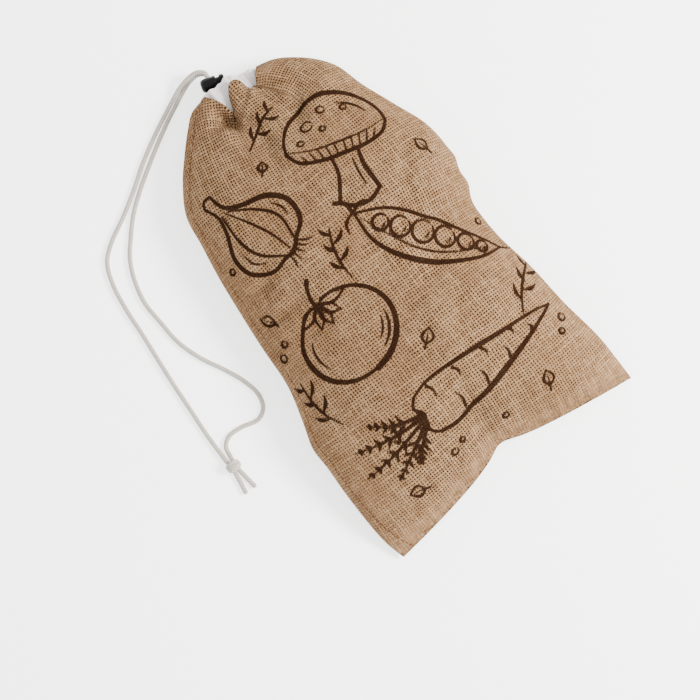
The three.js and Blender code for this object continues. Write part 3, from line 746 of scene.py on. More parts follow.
# Folds of the front: middle, half-length, half-width, turn in degrees and depth, below 0 for a ridge
FRONT_FOLDS = [
    (-23.5, 170.5, 11, 3.6, -57, 4.5), (-27.5, 161.5, 12, 4.5, -57, -1.8),
    (-10.5, 160, 9, 3, -75, 1.5), (-28.5, 169.5, 9, 4.5, -25, 6),
    (-31, 160, 11, 4, -25, -2), (-22.6, 174.2, 9, 4.8, -77, 6.8),
    (-36.5, -146, 17, 4.5, 54, 2), (-27, -139, 17, 5, 54, -1.2),
    (-72, 52, 18, 8, 60, 2.6), (-70, 2, 17, 7, -15, 3.2),
    (-2, -134, 16, 6, 80, 1.8), (66, 62, 22, 6, 60, 1.8),
]
# Edge of the middle fold that lies over the right lobe
LAP_LINE = np.array([
    (8.5, 180.5), (9.8, 178.8), (12, 177), (15.4, 173.4), (19.3, 167.5), (22.8, 161),
    (27.9, 153.7), (33.2, 145.5), (39, 138),
])
LAP_HEIGHT = 5.0
LAP_DIP = -3.0
LAP_REACH = 5.5
LOBE_TURN = math.radians(-33)
LOBE_PIVOT = (60.0, 330.0)  # on the cloth
LOBE_FADE = (18.0, 45.0)  # from this far from the lap the turn fades, over this length
STITCH_INSET = 11.0  # from the left side seam to the stitched line


def lap_distance(points):
    """Signed distance from the lap line, its place along the line and the way across it."""
    place = points[..., :2]
    distance = np.full(place.shape[:2], 1e3)
    share = np.zeros(place.shape[:2])
    across = np.zeros_like(place)
    for k, (a, b) in enumerate(zip(LAP_LINE[:-1], LAP_LINE[1:])):
        way = b - a
        side = np.array([way[1], -way[0]]) / np.linalg.norm(way)
        t = np.clip((place - a) @ way / (way @ way), 0, 1)
        gap = place - a - t[..., None] * way
        size = np.linalg.norm(gap, axis=-1) * np.where(gap @ side > 0, 1, -1)
        nearer = np.abs(size) < np.abs(distance)
        distance = np.where(nearer, size, distance)
        share = np.where(nearer, (k + t) / (len(LAP_LINE) - 1), share)
        across = np.where(nearer[..., None], side, across)
    return distance, share, across


def crest(distance, near, far):
    """Rises from 0 over the near distance and fades over the far one."""
    return (1 - np.exp(-distance / near)) * np.exp(-distance / far)


def lap_fold(points):
    """Raises the cloth at one side of the lap line and draws it over the line."""
    distance, share, across = lap_distance(points)
    strength = np.clip(1 - share, 0, 1) ** 1.2 * np.clip(share / 0.1, 0, 1)
    over = distance > 0
    size = np.abs(distance)
    rise = np.where(over, LAP_HEIGHT * crest(size, 1.1, 11), LAP_DIP * crest(size, 0.9, 4.5))
    draw = np.where(over, LAP_REACH * crest(size, 0.8, 7), 0.0)
    moved = points.copy()
    moved[..., 2] += rise * strength
    moved[..., :2] -= across * (draw * strength)[..., None]
    return moved


def front_folds(points):
    moved = points.copy()
    for x, y, length, width, degrees, depth in FRONT_FOLDS:
        moved[..., 2] -= depth * hollow(points[..., 0] - x, points[..., 1] - y, length, width, degrees)
    return moved


# Heights of the small relief
GATHER_RELIEF = 0.16
SIDE_RELIEF = 0.6
FOOT_RELIEF = 0.8
SOFT_RELIEF = 0.8
STITCH_RELIEF = 0.55
GATHER_LENGTH = 0.3  # share of the bag's length from the rim


def ripples(u, v, points):
    """Relief of the front: gathers below the rim, puckers along the seams, soft waves between
    them and the stitched line's groove at the left."""
    place = v * (len(SECTIONS["along"]) - 1)
    near_rim = np.clip(1 - (1 - table_at(SECTIONS, "along", place)) / GATHER_LENGTH, 0, 1)
    wander = 0.5 * np.sin(3.1 * v * 9 + 4 * u) + 0.3 * np.sin(7 * u + 2.3)
    folds = 0.75 * np.sin(21 * u + 1.7 * wander) + 0.35 * np.sin(43 * u + 2.6 * wander + 1.0)
    edge = 1 - np.abs(u)
    pucker = np.sin(v * 150 + 3 * np.sin(v * 37)) * np.exp(-((edge / 0.07) ** 2))
    foot = np.sin(u * 62 + 2 * np.sin(u * 11)) * np.exp(-((v / 0.05) ** 2))
    calm = np.minimum(1, edge / 0.04) * np.minimum(1, v / 0.01)
    soft = 0.5 * np.sin(9 * u + 5 * v) * np.sin(13 * v - 2 * u) + 0.35 * np.sin(17 * u - 11 * v + 1)
    groove = np.exp(-((distance_along(points, axis=1) - STITCH_INSET) / 0.9) ** 2)
    amount = (folds * near_rim**2.2 * GATHER_RELIEF + SIDE_RELIEF * pucker + FOOT_RELIEF * foot
              + SOFT_RELIEF * soft * (1 - near_rim))
    return amount * calm - STITCH_RELIEF * groove


BELLY_ROW = 0.42  # share of the rows from the bottom seam
# Rounds of evening out: every how many rows and columns, and how often
EVENING = [(6, 500), (2, 60)]
EVENING_SPEED = 0.4


def cloth_lengths(points):
    """Distances on the cloth: across from the middle column, and along from the bottom seam,
    counted so that the belly's row is a straight line."""
    across = distance_along(points, axis=1)
    along = distance_along(points)
    middle = points.shape[1] // 2
    belly = int(points.shape[0] * BELLY_ROW)
    across -= across[:, middle:middle + 1]
    along += along[belly, middle] - along[belly:belly + 1]
    return across, along


def settle(flat, points, rounds):
    """Moves a flattened grid until its links are as long as in the shaped cloth."""
    whole, head, tail = slice(None), slice(None, -1), slice(1, None)
    links = [
        ((head, whole), (tail, whole)), ((whole, head), (whole, tail)),
        ((head, head), (tail, tail)), ((head, tail), (tail, head)),
    ]
    lengths = [np.linalg.norm(points[b] - points[a], axis=-1) for a, b in links]
    for _ in range(rounds):
        shift = np.zeros_like(flat)
        for (a, b), length in zip(links, lengths):
            way = flat[b] - flat[a]
            now = np.maximum(np.linalg.norm(way, axis=-1), 1e-6)
            push = way * (0.5 - 0.5 * length / now)[..., None]
            shift[a] += push
            shift[b] -= push
        flat = flat + EVENING_SPEED * shift
    return flat


def relax_cloth(across, along, points):
    """Evens out stretch and shear, so that the woven threads stay square to each other."""
    flat = np.stack([across, along], axis=-1)
    row_count, column_count = across.shape
    for step, rounds in EVENING:
        rows = np.append(np.arange(0, row_count - 1, step), row_count - 1)
        columns = np.append(np.arange(0, column_count - 1, step), column_count - 1)
        chosen = np.ix_(rows, columns)
        shift = settle(flat[chosen], points[chosen], rounds) - flat[chosen]
        for k in range(2):
            tall = [np.interp(np.arange(row_count), rows, line) for line in shift[..., k].T]
            flat[..., k] += [np.interp(np.arange(column_count), columns, line) for line in np.array(tall).T]
    return flat[..., 0], flat[..., 1]


def turn_lobe(across, along, points):
    """Turns the threads of the right lobe, which is twisted on its way to the mouth."""
    distance, share, _ = lap_distance(points)
    fade_start, fade = LOBE_FADE
    beyond = np.clip(-distance / 2.0, 0, 1) * np.clip(1 + (distance + fade_start) / fade, 0, 1)
    turn = LOBE_TURN * beyond * np.clip(1 - share, 0, 1) ** 0.7
    dx, dy = across - LOBE_PIVOT[0], along - LOBE_PIVOT[1]
    return (LOBE_PIVOT[0] + dx * np.cos(turn) - dy * np.sin(turn),
            LOBE_PIVOT[1] + dx * np.sin(turn) + dy * np.cos(turn))


def smooth_step(value, low, high):
    share = np.clip((value - low) / (high - low), 0, 1)
    return share * share * (3 - 2 * share)


COLUMN_SHARES = (0.45, 0.55)  # of an even spread and of one that is closer at the sides
CLOSER_AT_FOOT = 1.15


def panel_grid(rows, columns, is_front):
    """Points of a panel's outer skin with all its relief, and their places on the bag."""
    evenly = np.linspace(-1, 1, columns + 1)
    u = COLUMN_SHARES[0] * evenly + COLUMN_SHARES[1] * np.sin(evenly * np.pi / 2)
    u[0], u[-1] = -1, 1
    v = np.linspace(0, 1, rows + 1) ** CLOSER_AT_FOOT
    v, u = np.meshgrid(v, u, indexing="ij")
    points = skin_point(u, v, is_front)
    if is_front:
        points = points + skin_normals(points, True) * ripples(u, v, points)[..., None]
        points = lap_fold(front_folds(points))
    return u, v, points


TIGHT_SIDES = (55.0, 115.0)  # the weave closes up from the belly to the side seams
TIGHT_SIDE_GAIN = 0.07
TIGHT_FOOT = (3.0, 30.0)  # and toward the bottom seam
TIGHT_FOOT_GAIN = 0.13
INNER_SHARE = 3  # the inner skin has a third of the outer skin's rows and columns
HEM_STEPS = 3


def hem_rows(skin, normals):
    """Rows of points that turn the rim's edge half round."""
    forward = unit(skin[-1] - skin[-2])
    turns = [math.pi * k / (HEM_STEPS + 1) for k in range(1, HEM_STEPS + 1)]
    return np.array([
        skin[-1] + JUTE_WALL / 2 * (forward * math.sin(turn) - normals[-1] * (1 - math.cos(turn)))
        for turn in turns
    ])


def closeness(across, along):
    """How much wider the threads are where the weave closes up, in shares of their pitch."""
    sides = smooth_step(np.abs(across), *TIGHT_SIDES)
    foot = 1 - smooth_step(along - along[0], *TIGHT_FOOT)
    return TIGHT_SIDE_GAIN * sides + TIGHT_FOOT_GAIN * foot


def panel_faces(fine_shape, coarse_shape):
    """Faces of both skins and of the strips that join them along their four edges."""
    (fine_rows, fine_columns), (coarse_rows, coarse_columns) = fine_shape, coarse_shape
    first = fine_rows * fine_columns
    fine = np.arange(first).reshape(fine_shape)
    coarse = first + np.arange(coarse_rows * coarse_columns).reshape(coarse_shape)
    faces = grid_faces(fine_rows, fine_columns)
    faces += [face[::-1] for face in grid_faces(coarse_rows, coarse_columns, first=first)]
    for i in range(coarse_columns - 1):
        span = slice(i * INNER_SHARE, (i + 1) * INNER_SHARE + 1)
        faces.append([*fine[0, span][::-1].tolist(), *coarse[0, i:i + 2].tolist()])
        faces.append([*fine[-1, span].tolist(), *coarse[-1, i:i + 2][::-1].tolist()])
    for j in range(coarse_rows - 1):
        span = slice(j * INNER_SHARE, None if j == coarse_rows - 2 else (j + 1) * INNER_SHARE + 1)
        faces.append([*fine[span, 0].tolist(), *coarse[j:j + 2, 0][::-1].tolist()])
        faces.append([*fine[span, -1][::-1].tolist(), *coarse[j:j + 2, -1].tolist()])
    return faces


def make_panel(name, node, rows, columns, is_front):
    """A jute panel: fine outer skin, a rounded edge at the rim and a coarser inner skin."""
    chosen = (slice(None, None, INNER_SHARE), slice(None, None, INNER_SHARE))
    u, v, outer = panel_grid(rows, columns, is_front)
    lift = (1 if is_front else -1) * SEAM_GAP / 2
    for border in (outer[0], outer[1:, 0], outer[1:, -1]):
        border[:, 2] += lift
    normals = skin_normals(outer, is_front)
    skin = np.concatenate([outer, hem_rows(outer, normals)], axis=0)
    inner = (outer - normals * JUTE_WALL)[chosen]
    keep = seam_height(u, v)[chosen] + lift
    clamp = np.maximum if is_front else np.minimum
    inner[..., 2] = np.where(v[chosen] < PINCHED_END, clamp(inner[..., 2], keep), inner[..., 2])
    faces = panel_faces(skin.shape[:2], inner.shape[:2])
    if not is_front:
        faces = [face[::-1] for face in faces]
    obj = make_object(name, np.vstack([skin.reshape(-1, 3), inner.reshape(-1, 3)]), faces, JUTE)

    def on_both_skins(values, size):
        return np.vstack([values.reshape(-1, size), values[:rows + 1][chosen].reshape(-1, size)])

    across, along = cloth_lengths(skin)
    set_attribute(obj, "tight", "FLOAT", on_both_skins(closeness(across, along), 1))
    across, along = relax_cloth(across, along, skin)
    ink = np.full(len(obj.data.vertices), NO_INK)
    if is_front:
        ink[:across.size] = ink_distance(np.stack([across, along], axis=-1).reshape(-1, 2))
        across, along = turn_lobe(across, along, skin)
    set_attribute(obj, "ink", "FLOAT", ink)
    stitch = distance_along(skin, axis=1) - STITCH_INSET
    cloth = np.stack([across, along, stitch], axis=-1)
    set_attribute(obj, "cloth", "FLOAT_VECTOR", on_both_skins(cloth, 3) * MM)
    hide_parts(node)
    width = float(np.median(across[:, -1] - across[:, 0]))
    length = float(np.median(along[-1] - along[0]))


# Print: plain line drawings of kitchen vegetables, in millimetres on the cloth


def stroke(points, *widths):
    """A line with its half-widths at its start, middle and end."""
    return (np.array(points, float), widths)


def arc(centre, radius_x, radius_y, start, end, widths, count=9):
    angle = np.radians(np.linspace(start, end, count))
    around = np.stack([radius_x * np.cos(angle), radius_y * np.sin(angle)], 1)
    return stroke(around + centre, *widths)


def direction(turn):
    """A step downward, turned by an angle toward +X."""
    return np.array([math.sin(turn), -math.cos(turn)])


def carrot():
    """Lies along +Y, its crown at the origin and its leaves below."""
    lines = [
        stroke([(-20, 6), (-23, 22), (-19, 58), (-11, 100), (-3, 138), (2, 152)], 0.9, 1.9, 0.7),
        stroke([(19, 4), (23, 20), (20, 55), (13, 96), (6, 132), (2, 152)], 1.4, 2.4, 0.9),
        stroke([(-20, 6), (-12, -1), (-3, 3), (6, -2), (14, -1), (19, 4)], 0.9, 1.5, 1.1),
    ]
    side = 1
    for at, reach in ((20, 13), (34, 17), (47, 10), (62, 14), (76, 9), (91, 11), (106, 7), (121, 6)):
        side = -side
        edge = side * (23 - 0.135 * at)
        groove = [(edge, at), (edge - side * reach * 0.5, at + 2.5), (edge - side * reach, at + 1)]
        lines.append(stroke(groove, 1.2, 1, 0.45))
    for lean, length in ((-34, 50), (-14, 66), (6, 72), (27, 58), (44, 40)):
        turn = math.radians(lean)
        tip = direction(turn) * length
        lines.append(stroke([(lean * 0.12, 0), tip * 0.5 + (2.5 * math.cos(turn), 0), tip], 1.5, 1.1, 0.6))
        for share in (0.35, 0.5, 0.64, 0.78, 0.9):
            base = tip * share + (2.5 * (1 - abs(2 * share - 1)), 0)
            for side in (-1, 1):
                out = direction(turn + side * 0.85) * 12 * (1.25 - share)
                lines.append(stroke([base, base + out * 0.6 + (0, -0.8), base + out], 0.6, 1.2, 0.5))
    return lines


def tomato():
    lines = [
        arc((0, 0), 34, 30, 98, 265, (0.8, 2.2, 1.2)),
        arc((0, 0), 34, 30, 82, -95, (0.8, 1.9, 2.4)),
        arc((4, -2), 24, 22, -10, -75, (0.5, 1.3, 0.5)),
        arc((5, -2), 19, 17, -18, -66, (0.5, 0.9, 0.5)),
        arc((-3, 0), 24, 21, 140, 200, (0.5, 1, 0.5)),
        stroke([(-1, 27), (0, 34), (4, 41), (7, 44)], 1.6, 1.3, 1.9),
    ]
    start = np.array([0, 28])
    for lean, length in ((-78, 21), (-38, 17), (-4, 17), (34, 17), (74, 21)):
        out = direction(math.radians(lean)) * length
        side = np.array([out[1], -out[0]]) / length
        lines.append(stroke([start, start + out * 0.5 + side * 3.4, start + out], 0.8, 1.3, 0.5))
        lines.append(stroke([start, start + out * 0.5 - side * 3, start + out], 0.8, 1, 0.5))
    return lines


def mushroom():
    lines = [
        arc((0, 14), 37, 30, 184, -4, (1, 2.1, 1.3), 13),
        stroke([(-37, 12), (-30, 3), (-16, -1), (0, -2), (17, -1), (31, 4), (37, 12)], 1.2, 1.7, 1.2),
        stroke([(-36, 13), (-22, 9), (0, 7), (22, 9), (36, 13)], 0.5, 0.9, 0.5),
        stroke([(-9, -2), (-8, -14), (-11, -27), (-13, -34)], 1.1, 1.4, 1.4),
        stroke([(10, -2), (10, -14), (13, -26), (15, -33)], 1.2, 1.9, 1.6),
        stroke([(-13, -34), (-5, -39), (7, -39), (15, -33)], 1.4, 1.7, 1.4),
        stroke([(4, -8), (5, -18), (7, -28)], 0.5, 0.9, 0.5),
        arc((4, 16), 24, 19, 20, 75, (0.5, 1.2, 0.5)),
    ]
    for x in (-28, -22, -16, -10, -4, 3, 9, 15, 21, 27):
        top = 7.5 - 0.006 * (30 - abs(x)) ** 1.2
        lines.append(stroke([(x, top), (x * 0.9, 3), (x * 0.84, -0.5)], 0.45, 0.7, 0.45))
    for x, y, size in ((-17, 26, 4.5), (-3, 33, 3.2), (-25, 16, 2.6), (13, 30, 2.6), (-7, 20, 2.4)):
        lines.append(arc((x, y), size, size * 0.75, 20, 340, (0.6, 0.9, 0.6)))
    return lines


def pea_pod():
    lines = [
        stroke([(-52, 2), (-34, -13), (-8, -19), (20, -15), (42, -5), (54, 6)], 0.9, 2.3, 0.8),
        stroke([(-52, 2), (-32, 10), (-6, 12), (22, 10), (43, 8), (54, 6)], 0.9, 1.5, 0.8),
        stroke([(-46, 0), (-28, -6), (-4, -11), (20, -8), (44, 3)], 0.5, 1, 0.5),
        stroke([(-52, 2), (-60, 7), (-66, 6)], 1.5, 1.2, 1.7),
        stroke([(-52, 2), (-50, 10), (-44, 13)], 0.8, 1.4, 0.5),
        stroke([(-53, 2), (-55, -6), (-51, -12)], 0.8, 1.3, 0.5),
        stroke([(54, 6), (61, 9), (67, 15)], 0.9, 0.7, 0.4),
    ]
    for x, size in ((-33, 5.5), (-19, 7), (-3, 7.8), (13, 7.2), (28, 6), (40, 4.2)):
        lines.append(arc((x, 1 + x * 0.03), size, size, 60, 400, (0.8, 1.3, 0.8), 11))
        lines.append(arc((x, 1 + x * 0.03), size * 0.55, size * 0.55, -70, 10, (0.45, 0.8, 0.45), 5))
    return lines


def garlic():
    lines = [
        stroke([(-4, 44), (-4, 32), (-11, 22), (-24, 10), (-27, -4), (-19, -17), (-6, -21)], 1, 1.9, 1.3),
        stroke([(5, 45), (4, 32), (11, 22), (24, 11), (28, -3), (20, -17), (6, -21)], 1.1, 2.3, 1.4),
        stroke([(-2, 30), (-11, 12), (-13, -4), (-6, -20)], 0.6, 1.3, 0.8),
        stroke([(1, 30), (3, 12), (3, -4), (0, -20)], 0.5, 1, 0.6),
        stroke([(3, 28), (13, 12), (16, -3), (7, -20)], 0.6, 1.2, 0.8),
        stroke([(-4, 44), (0, 47), (5, 45)], 1, 1.2, 1),
        stroke([(-18, 6), (-20, -3), (-16, -10)], 0.4, 0.9, 0.4),
        stroke([(21, 6), (22, -2), (19, -9)], 0.4, 0.9, 0.4),
        stroke([(-7, -21), (0, -23), (7, -21)], 1.2, 1.8, 1.2),
    ]
    for x in (-5, -2, 1, 4, 7):
        lines.append(stroke([(x, -22), (x * 1.3, -27), (x * 1.9, -30)], 0.7, 0.8, 0.4))
    return lines


def sprig():
    lines = [stroke([(-20, -4), (-4, 1), (12, 2), (26, 0)], 0.6, 1.2, 0.6)]
    for x, side in ((-10, 1), (-3, -1), (5, 1), (12, -1), (19, 1)):
        lines.append(stroke([(x, 0.5), (x + 4, side * 6), (x + 9, side * 9)], 0.6, 1.7, 0.5))
    return lines


def small_leaf():
    return [
        stroke([(0, -6), (-4, -1), (-1, 6)], 0.6, 1.3, 0.5),
        stroke([(0, -6), (4, 0), (-1, 6)], 0.6, 1, 0.5),
        stroke([(0, -9), (0, -4), (-0.5, 2)], 0.9, 0.7, 0.4),
    ]


def small_ring():
    return [arc((0, 0), 3.4, 3, 30, 370, (0.6, 1.1, 0.5), 7)]


def placed(lines, x, y, degrees, scale):
    turn = math.radians(degrees)
    matrix = scale * np.array([[math.cos(turn), math.sin(turn)], [-math.sin(turn), math.cos(turn)]])
    return [(points @ matrix + (x, y), widths) for points, widths in lines]


PRINT = [
    # motif, across, along, turn, scale
    (carrot, -34, 62, -84, 0.86), (tomato, -42, 146, 12, 1.12), (garlic, -50, 244, 28, 1.15),
    (mushroom, 34, 262, -16, 1.12), (pea_pod, 50, 172, -48, 1.12), (sprig, -14, 196, 75, 0.9),
    (sprig, 88, 96, 35, 1), (sprig, -92, 112, 100, 1), (sprig, -8, 318, 20, 0.9),
    (small_leaf, -88, 190, 30, 1.1), (small_leaf, 4, 110, -50, 1.1), (small_leaf, 88, 232, 15, 1.1),
    (small_leaf, -70, 20, 70, 1.1), (small_leaf, 60, 30, -20, 1.1), (small_leaf, -22, 290, -30, 0.9),
    (small_ring, -96, 160, 0, 1), (small_ring, -88, 168, 0, 0.8), (small_ring, 98, 60, 0, 1),
    (small_ring, 90, 52, 0, 0.8),
    (small_ring, -30, 26, 0, 0.9), (small_ring, -20, 30, 0, 0.7), (small_ring, 18, 24, 0, 0.8),
    (small_ring, 96, 158, 0, 0.9), (small_ring, -88, 236, 0, 0.8),
]


STROKE_STEP = 2.2
INK_REACH = 6.0
NO_INK = 9.0  # a distance at which no ink shows


def smooth_stroke(points, widths):
    """The stroke's points on a smooth curve, with a half-width at each."""
    flat_line = np.hstack([points, np.zeros((len(points), 1))])
    line = route_curve(flat_line, max(6, int(line_length(points) / STROKE_STEP)))[:, :2]
    share = np.linspace(0, 1, len(line))
    return line, np.interp(share, (0, 0.5, 1), widths)


def ink_distance(flat):
    """Distance of each point of the cloth from the print's edge, negative inside it."""
    distance = np.full(len(flat), NO_INK)
    strokes = [line for motif, *place in PRINT for line in placed(motif(), *place)]
    for points, widths in strokes:
        line, half = smooth_stroke(points, widths)
        low = line.min(axis=0) - INK_REACH
        high = line.max(axis=0) + INK_REACH
        near = np.nonzero(np.all((flat > low) & (flat < high), axis=1))[0]
        best = distance[near]
        place = flat[near]
        for a, b, ha, hb in zip(line[:-1], line[1:], half[:-1], half[1:]):
            way = b - a
            share = np.clip((place - a) @ way / max(way @ way, 1e-9), 0, 1)
            gap = np.linalg.norm(place - a - share[:, None] * way, axis=1) - (ha + (hb - ha) * share)
            best = np.minimum(best, gap)
        distance[near] = best
    return distance


FRONT_ROWS, FRONT_COLUMNS = 321, 192
BACK_ROWS, BACK_COLUMNS = 168, 96

make_panel("jute_front", "jute_front_panel", FRONT_ROWS, FRONT_COLUMNS, is_front=True)
make_panel("jute_back", "jute_back_panel", BACK_ROWS, BACK_COLUMNS, is_front=False)


# Cotton band in the neck

# The tube's middle, outward direction in degrees from +X, half-thickness, half-length and puff,
# from its left front end over the right side to its left back end
BAND = {
    "x": [-25, -22, -18, -13, -8, -3, 1.5, 5, 8.5, 12, 15.5, 18, 18.8, 17.5, 14, 8,
          0, -8, -16, -22],
    "y": [187.5, 186.5, 185.5, 185, 185.5, 186.6, 185.5, 183.2, 182.4, 182.2, 181.6, 181.2, 181,
          181, 181, 181, 181, 180.5, 180, 180],
    "z": [21, 23.2, 24.6, 25, 24.6, 24.4, 24, 23, 22.3, 22.6, 22.4, 19, 14.8, 10.2, 8.2, 7.9,
          7.9, 7.9, 7.9, 8.2],
    "out": [110, 100, 92, 90, 90, 90, 90, 90, 90, 88, 75, 40, 0, -50, -82, -90, -90, -90, -90, -95],
    "thick": [2, 3.2, 3.8, 3.7, 3.6, 3.6, 3.4, 3.2, 3.2, 3.4, 3.6, 3.4, 3.2, 3, 2.9, 2.9, 2.9, 2.9,
              2.9, 2.4],
    "long": [9.5, 11.5, 12.5, 12.5, 12.8, 13.2, 12.8, 12.3, 12.3, 12.3, 12, 12, 12, 12, 12, 12,
             12, 12, 12, 11],
    "puff": [0.5, 1, 1.2, 1, 0.4, 0.6, 0.8, 1.2, 2.2, 3.2, 3, 1.5, 0.8, 0.4, 0.2, 0, 0, 0, 0, 0],
}
BAND_STEPS = 230
BAND_SIDES = 72
BAND_CORNERS = (0.75, 0.6)  # 1 is an oval section, 0 a box
BAND_RELIEF = 0.8
BAND_HEM = 4.5  # from the edge at the mouth to its stitched line


def make_band():
    """A puffed, gathered tube that is closed at both ends."""
    last = len(BAND["x"]) - 1
    place = np.linspace(0, last, BAND_STEPS)
    row = {name: table_at(BAND, name, place)[:, None] for name in BAND}
    middle = np.hstack([row["x"], row["y"], row["z"]])
    run = distance_along(middle)[:, None]
    out = np.radians(row["out"])
    angle = np.linspace(0, 2 * np.pi, BAND_SIDES, endpoint=False)[None]
    cos, sin = np.cos(angle), np.sin(angle)
    forward = np.sign(cos) * np.abs(cos) ** BAND_CORNERS[0]
    outward = np.sign(sin) * np.abs(sin) ** BAND_CORNERS[1]
    mouth_side = np.clip(0.5 + 0.5 * forward, 0, 1)
    gather = (0.5 * np.sin(run / 1.35 + 1.2 * np.sin(run / 5.0) + 0.8 * forward)
              + 0.28 * np.sin(run / 0.62 + 2.1 * forward + 1.5 * np.sin(run / 3.1)))
    hem = 0.4 * np.exp(-(((forward * row["long"] - row["long"] + BAND_HEM) / 0.8) ** 2))
    relief = (gather * (0.5 + 0.5 * np.abs(forward)) - hem) * np.clip(outward * 2, -1, 1) * BAND_RELIEF
    ends = np.clip(np.minimum(place, last - place) / 0.5, 0, 1)[:, None]
    round_end = np.sqrt(1 - (1 - ends) ** 2) * 0.98 + 0.02
    lift = outward * (row["thick"] + row["puff"] * mouth_side**1.5 * (outward > 0))
    lift = (lift + relief) * round_end
    reach = forward * (row["long"] + 0.35 * np.sin(run / 1.1)) * (0.6 + 0.4 * round_end)
    points = np.stack([row["x"] + lift * np.cos(out), row["y"] + reach, row["z"] + lift * np.sin(out)], -1)
    band = make_object("cotton_band", points.reshape(-1, 3), tube_faces(BAND_STEPS, BAND_SIDES), COTTON)
    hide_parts("cotton_tunnel")


# Cord that the band holds

RING_RADIUS = 6.67
RING_LEFT = -0.31 * NECK_WIDTH
RING_RIGHT = 9.53
RING_TILT = 0.12
BAND_MIDDLE_Y = RIM_Y + 0.085 * NECK_HEIGHT - TUNNEL_LENGTH / 2


def ring_points():
    """The cord's way round the neck, from the upper end over the right side to the lower end."""
    straight = np.linspace(RING_LEFT, RING_RIGHT, 5, endpoint=False)[1:]
    turn = np.radians(np.linspace(90, -90, 8))
    x = np.concatenate([straight, RING_RIGHT + RING_RADIUS * np.cos(turn), straight[::-1]])
    z = np.concatenate([
        np.full(len(straight), RING_Z + RING_RADIUS), RING_Z + RING_RADIUS * np.sin(turn),
        np.full(len(straight), RING_Z - RING_RADIUS),
    ])
    return np.stack([x, BAND_MIDDLE_Y + RING_TILT * (x + 4), z], axis=1)


def make_held_cord():
    """Through the lock, round the neck and back through the lock."""
    forward = np.array([-math.sin(LOCK_TURN), math.cos(LOCK_TURN), 0.0])
    far_face = LOCK_WIDTH / 2

    def through_lock(offset, z):
        return LOCK_CENTRE + forward * offset + (0, 0, z)

    ring = ring_points()
    first, last = ring[0], ring[-1]
    held = braided_tube("held_cord", cord_line([
        through_lock(far_face, UPPER_Z), through_lock(0, UPPER_Z),
        through_lock(-far_face - 0.5, UPPER_Z + 0.2), (RING_LEFT - 4.9, first[1] + 6.0, UPPER_Z + 1.6),
        (RING_LEFT - 3.9, first[1] + 1.1, first[2] - 0.8),
        *ring,
        (RING_LEFT - 3.9, last[1] + 1.1, last[2] + 0.8),
        (RING_LEFT - 4.9, last[1] + 6.0, LOWER_Z - 1.6), through_lock(-far_face - 0.5, LOWER_Z - 0.2),
        through_lock(0, LOWER_Z), through_lock(far_face, LOWER_Z),
    ]))
    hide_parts("drawcord_in_tunnel")


# Cord lock, in its own frame: the plunger slides along X, the cords pass along Y

SLOT_HEIGHT = 2 * CORD_DIAMETER + 3 * STRAND_CLEARANCE
BRIDGE = 1.6
STEM_HALF_HEIGHT = SLOT_HEIGHT / 2 + BRIDGE
BARREL_HALF_HEIGHT = STEM_HALF_HEIGHT + SLIDE_CLEARANCE + LOCK_WALL
STEM_HALF_WIDTH = LOCK_WIDTH / 2 - LOCK_WALL - SLIDE_CLEARANCE
STEM_START = LOCK_WALL + PLUNGER_TRAVEL + 0.5
STEM_FLOOR = 1.0
PLUNGER_SLOT = CORD_DIAMETER + PLUNGER_TRAVEL + 2 * STRAND_CLEARANCE
STRAND_X = STEM_START + STEM_FLOOR + STRAND_CLEARANCE + CORD_RADIUS
STEM_SLOT_END = STEM_START + STEM_FLOOR + PLUNGER_SLOT
BARREL_LENGTH = STEM_SLOT_END + 0.6
BUTTON_START = BARREL_LENGTH + PLUNGER_TRAVEL + STRAND_CLEARANCE
BUTTON_END = BUTTON_START + BUTTON_LENGTH
LOCK_SIDES = 72


def oval_mesh(name, stations, half_y, half_z):
    """A closed oval body through stations: a place along X and a share of the full oval."""
    stations = np.array(stations)
    angle = np.linspace(0, 2 * np.pi, LOCK_SIDES, endpoint=False)
    points = np.stack([
        np.repeat(stations[:, 0], LOCK_SIDES),
        (stations[:, 1:] * half_y * np.cos(angle)).ravel(),
        (stations[:, 1:] * half_z * np.sin(angle)).ravel(),
    ], axis=1)
    return plain_mesh(name, points, tube_faces(len(stations), LOCK_SIDES))


def box_mesh(name, from_x, to_x, width, height):
    corners = [(x, y, z) for x in (from_x, to_x) for y in (-width / 2, width / 2)
               for z in (-height / 2, height / 2)]
    faces = [(0, 1, 3, 2), (4, 6, 7, 5), (0, 4, 5, 1), (2, 3, 7, 6), (0, 2, 6, 4), (1, 5, 7, 3)]
    return plain_mesh(name, corners, faces)


def apply_modifier(obj, kind, **settings):
    modifier = obj.modifiers.new(kind.lower(), kind)
    for name, value in settings.items():
        setattr(modifier, name, value)
    make_active(obj)
    bpy.ops.object.modifier_apply(modifier=modifier.name)


def cut(obj, cutter):
    apply_modifier(obj, "BOOLEAN", operation="DIFFERENCE", solver="EXACT", object=cutter)
    bpy.data.objects.remove(cutter)


LOCK_BEVEL = 0.28


def finish_lock_piece(obj, node, body):
    apply_modifier(
        obj, "BEVEL", width=LOCK_BEVEL * MM, segments=3, limit_method="ANGLE", angle_limit=math.radians(38),
    )
    obj.data.transform(
        Matrix.Translation(Vector((*LOCK_CENTRE[:2], RING_Z)) * MM)
        @ Matrix.Rotation(LOCK_TURN, 4, "Z") @ Matrix.Translation((-STRAND_X * MM, 0, 0))
    )
    obj.data.materials.clear()
    obj.data.materials.append(LOCK)
    for polygon in obj.data.polygons:
        polygon.use_smooth = True
        polygon.material_index = 0
    obj.data.set_sharp_from_angle(angle=math.radians(50))
    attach(obj, body)
    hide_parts(node)


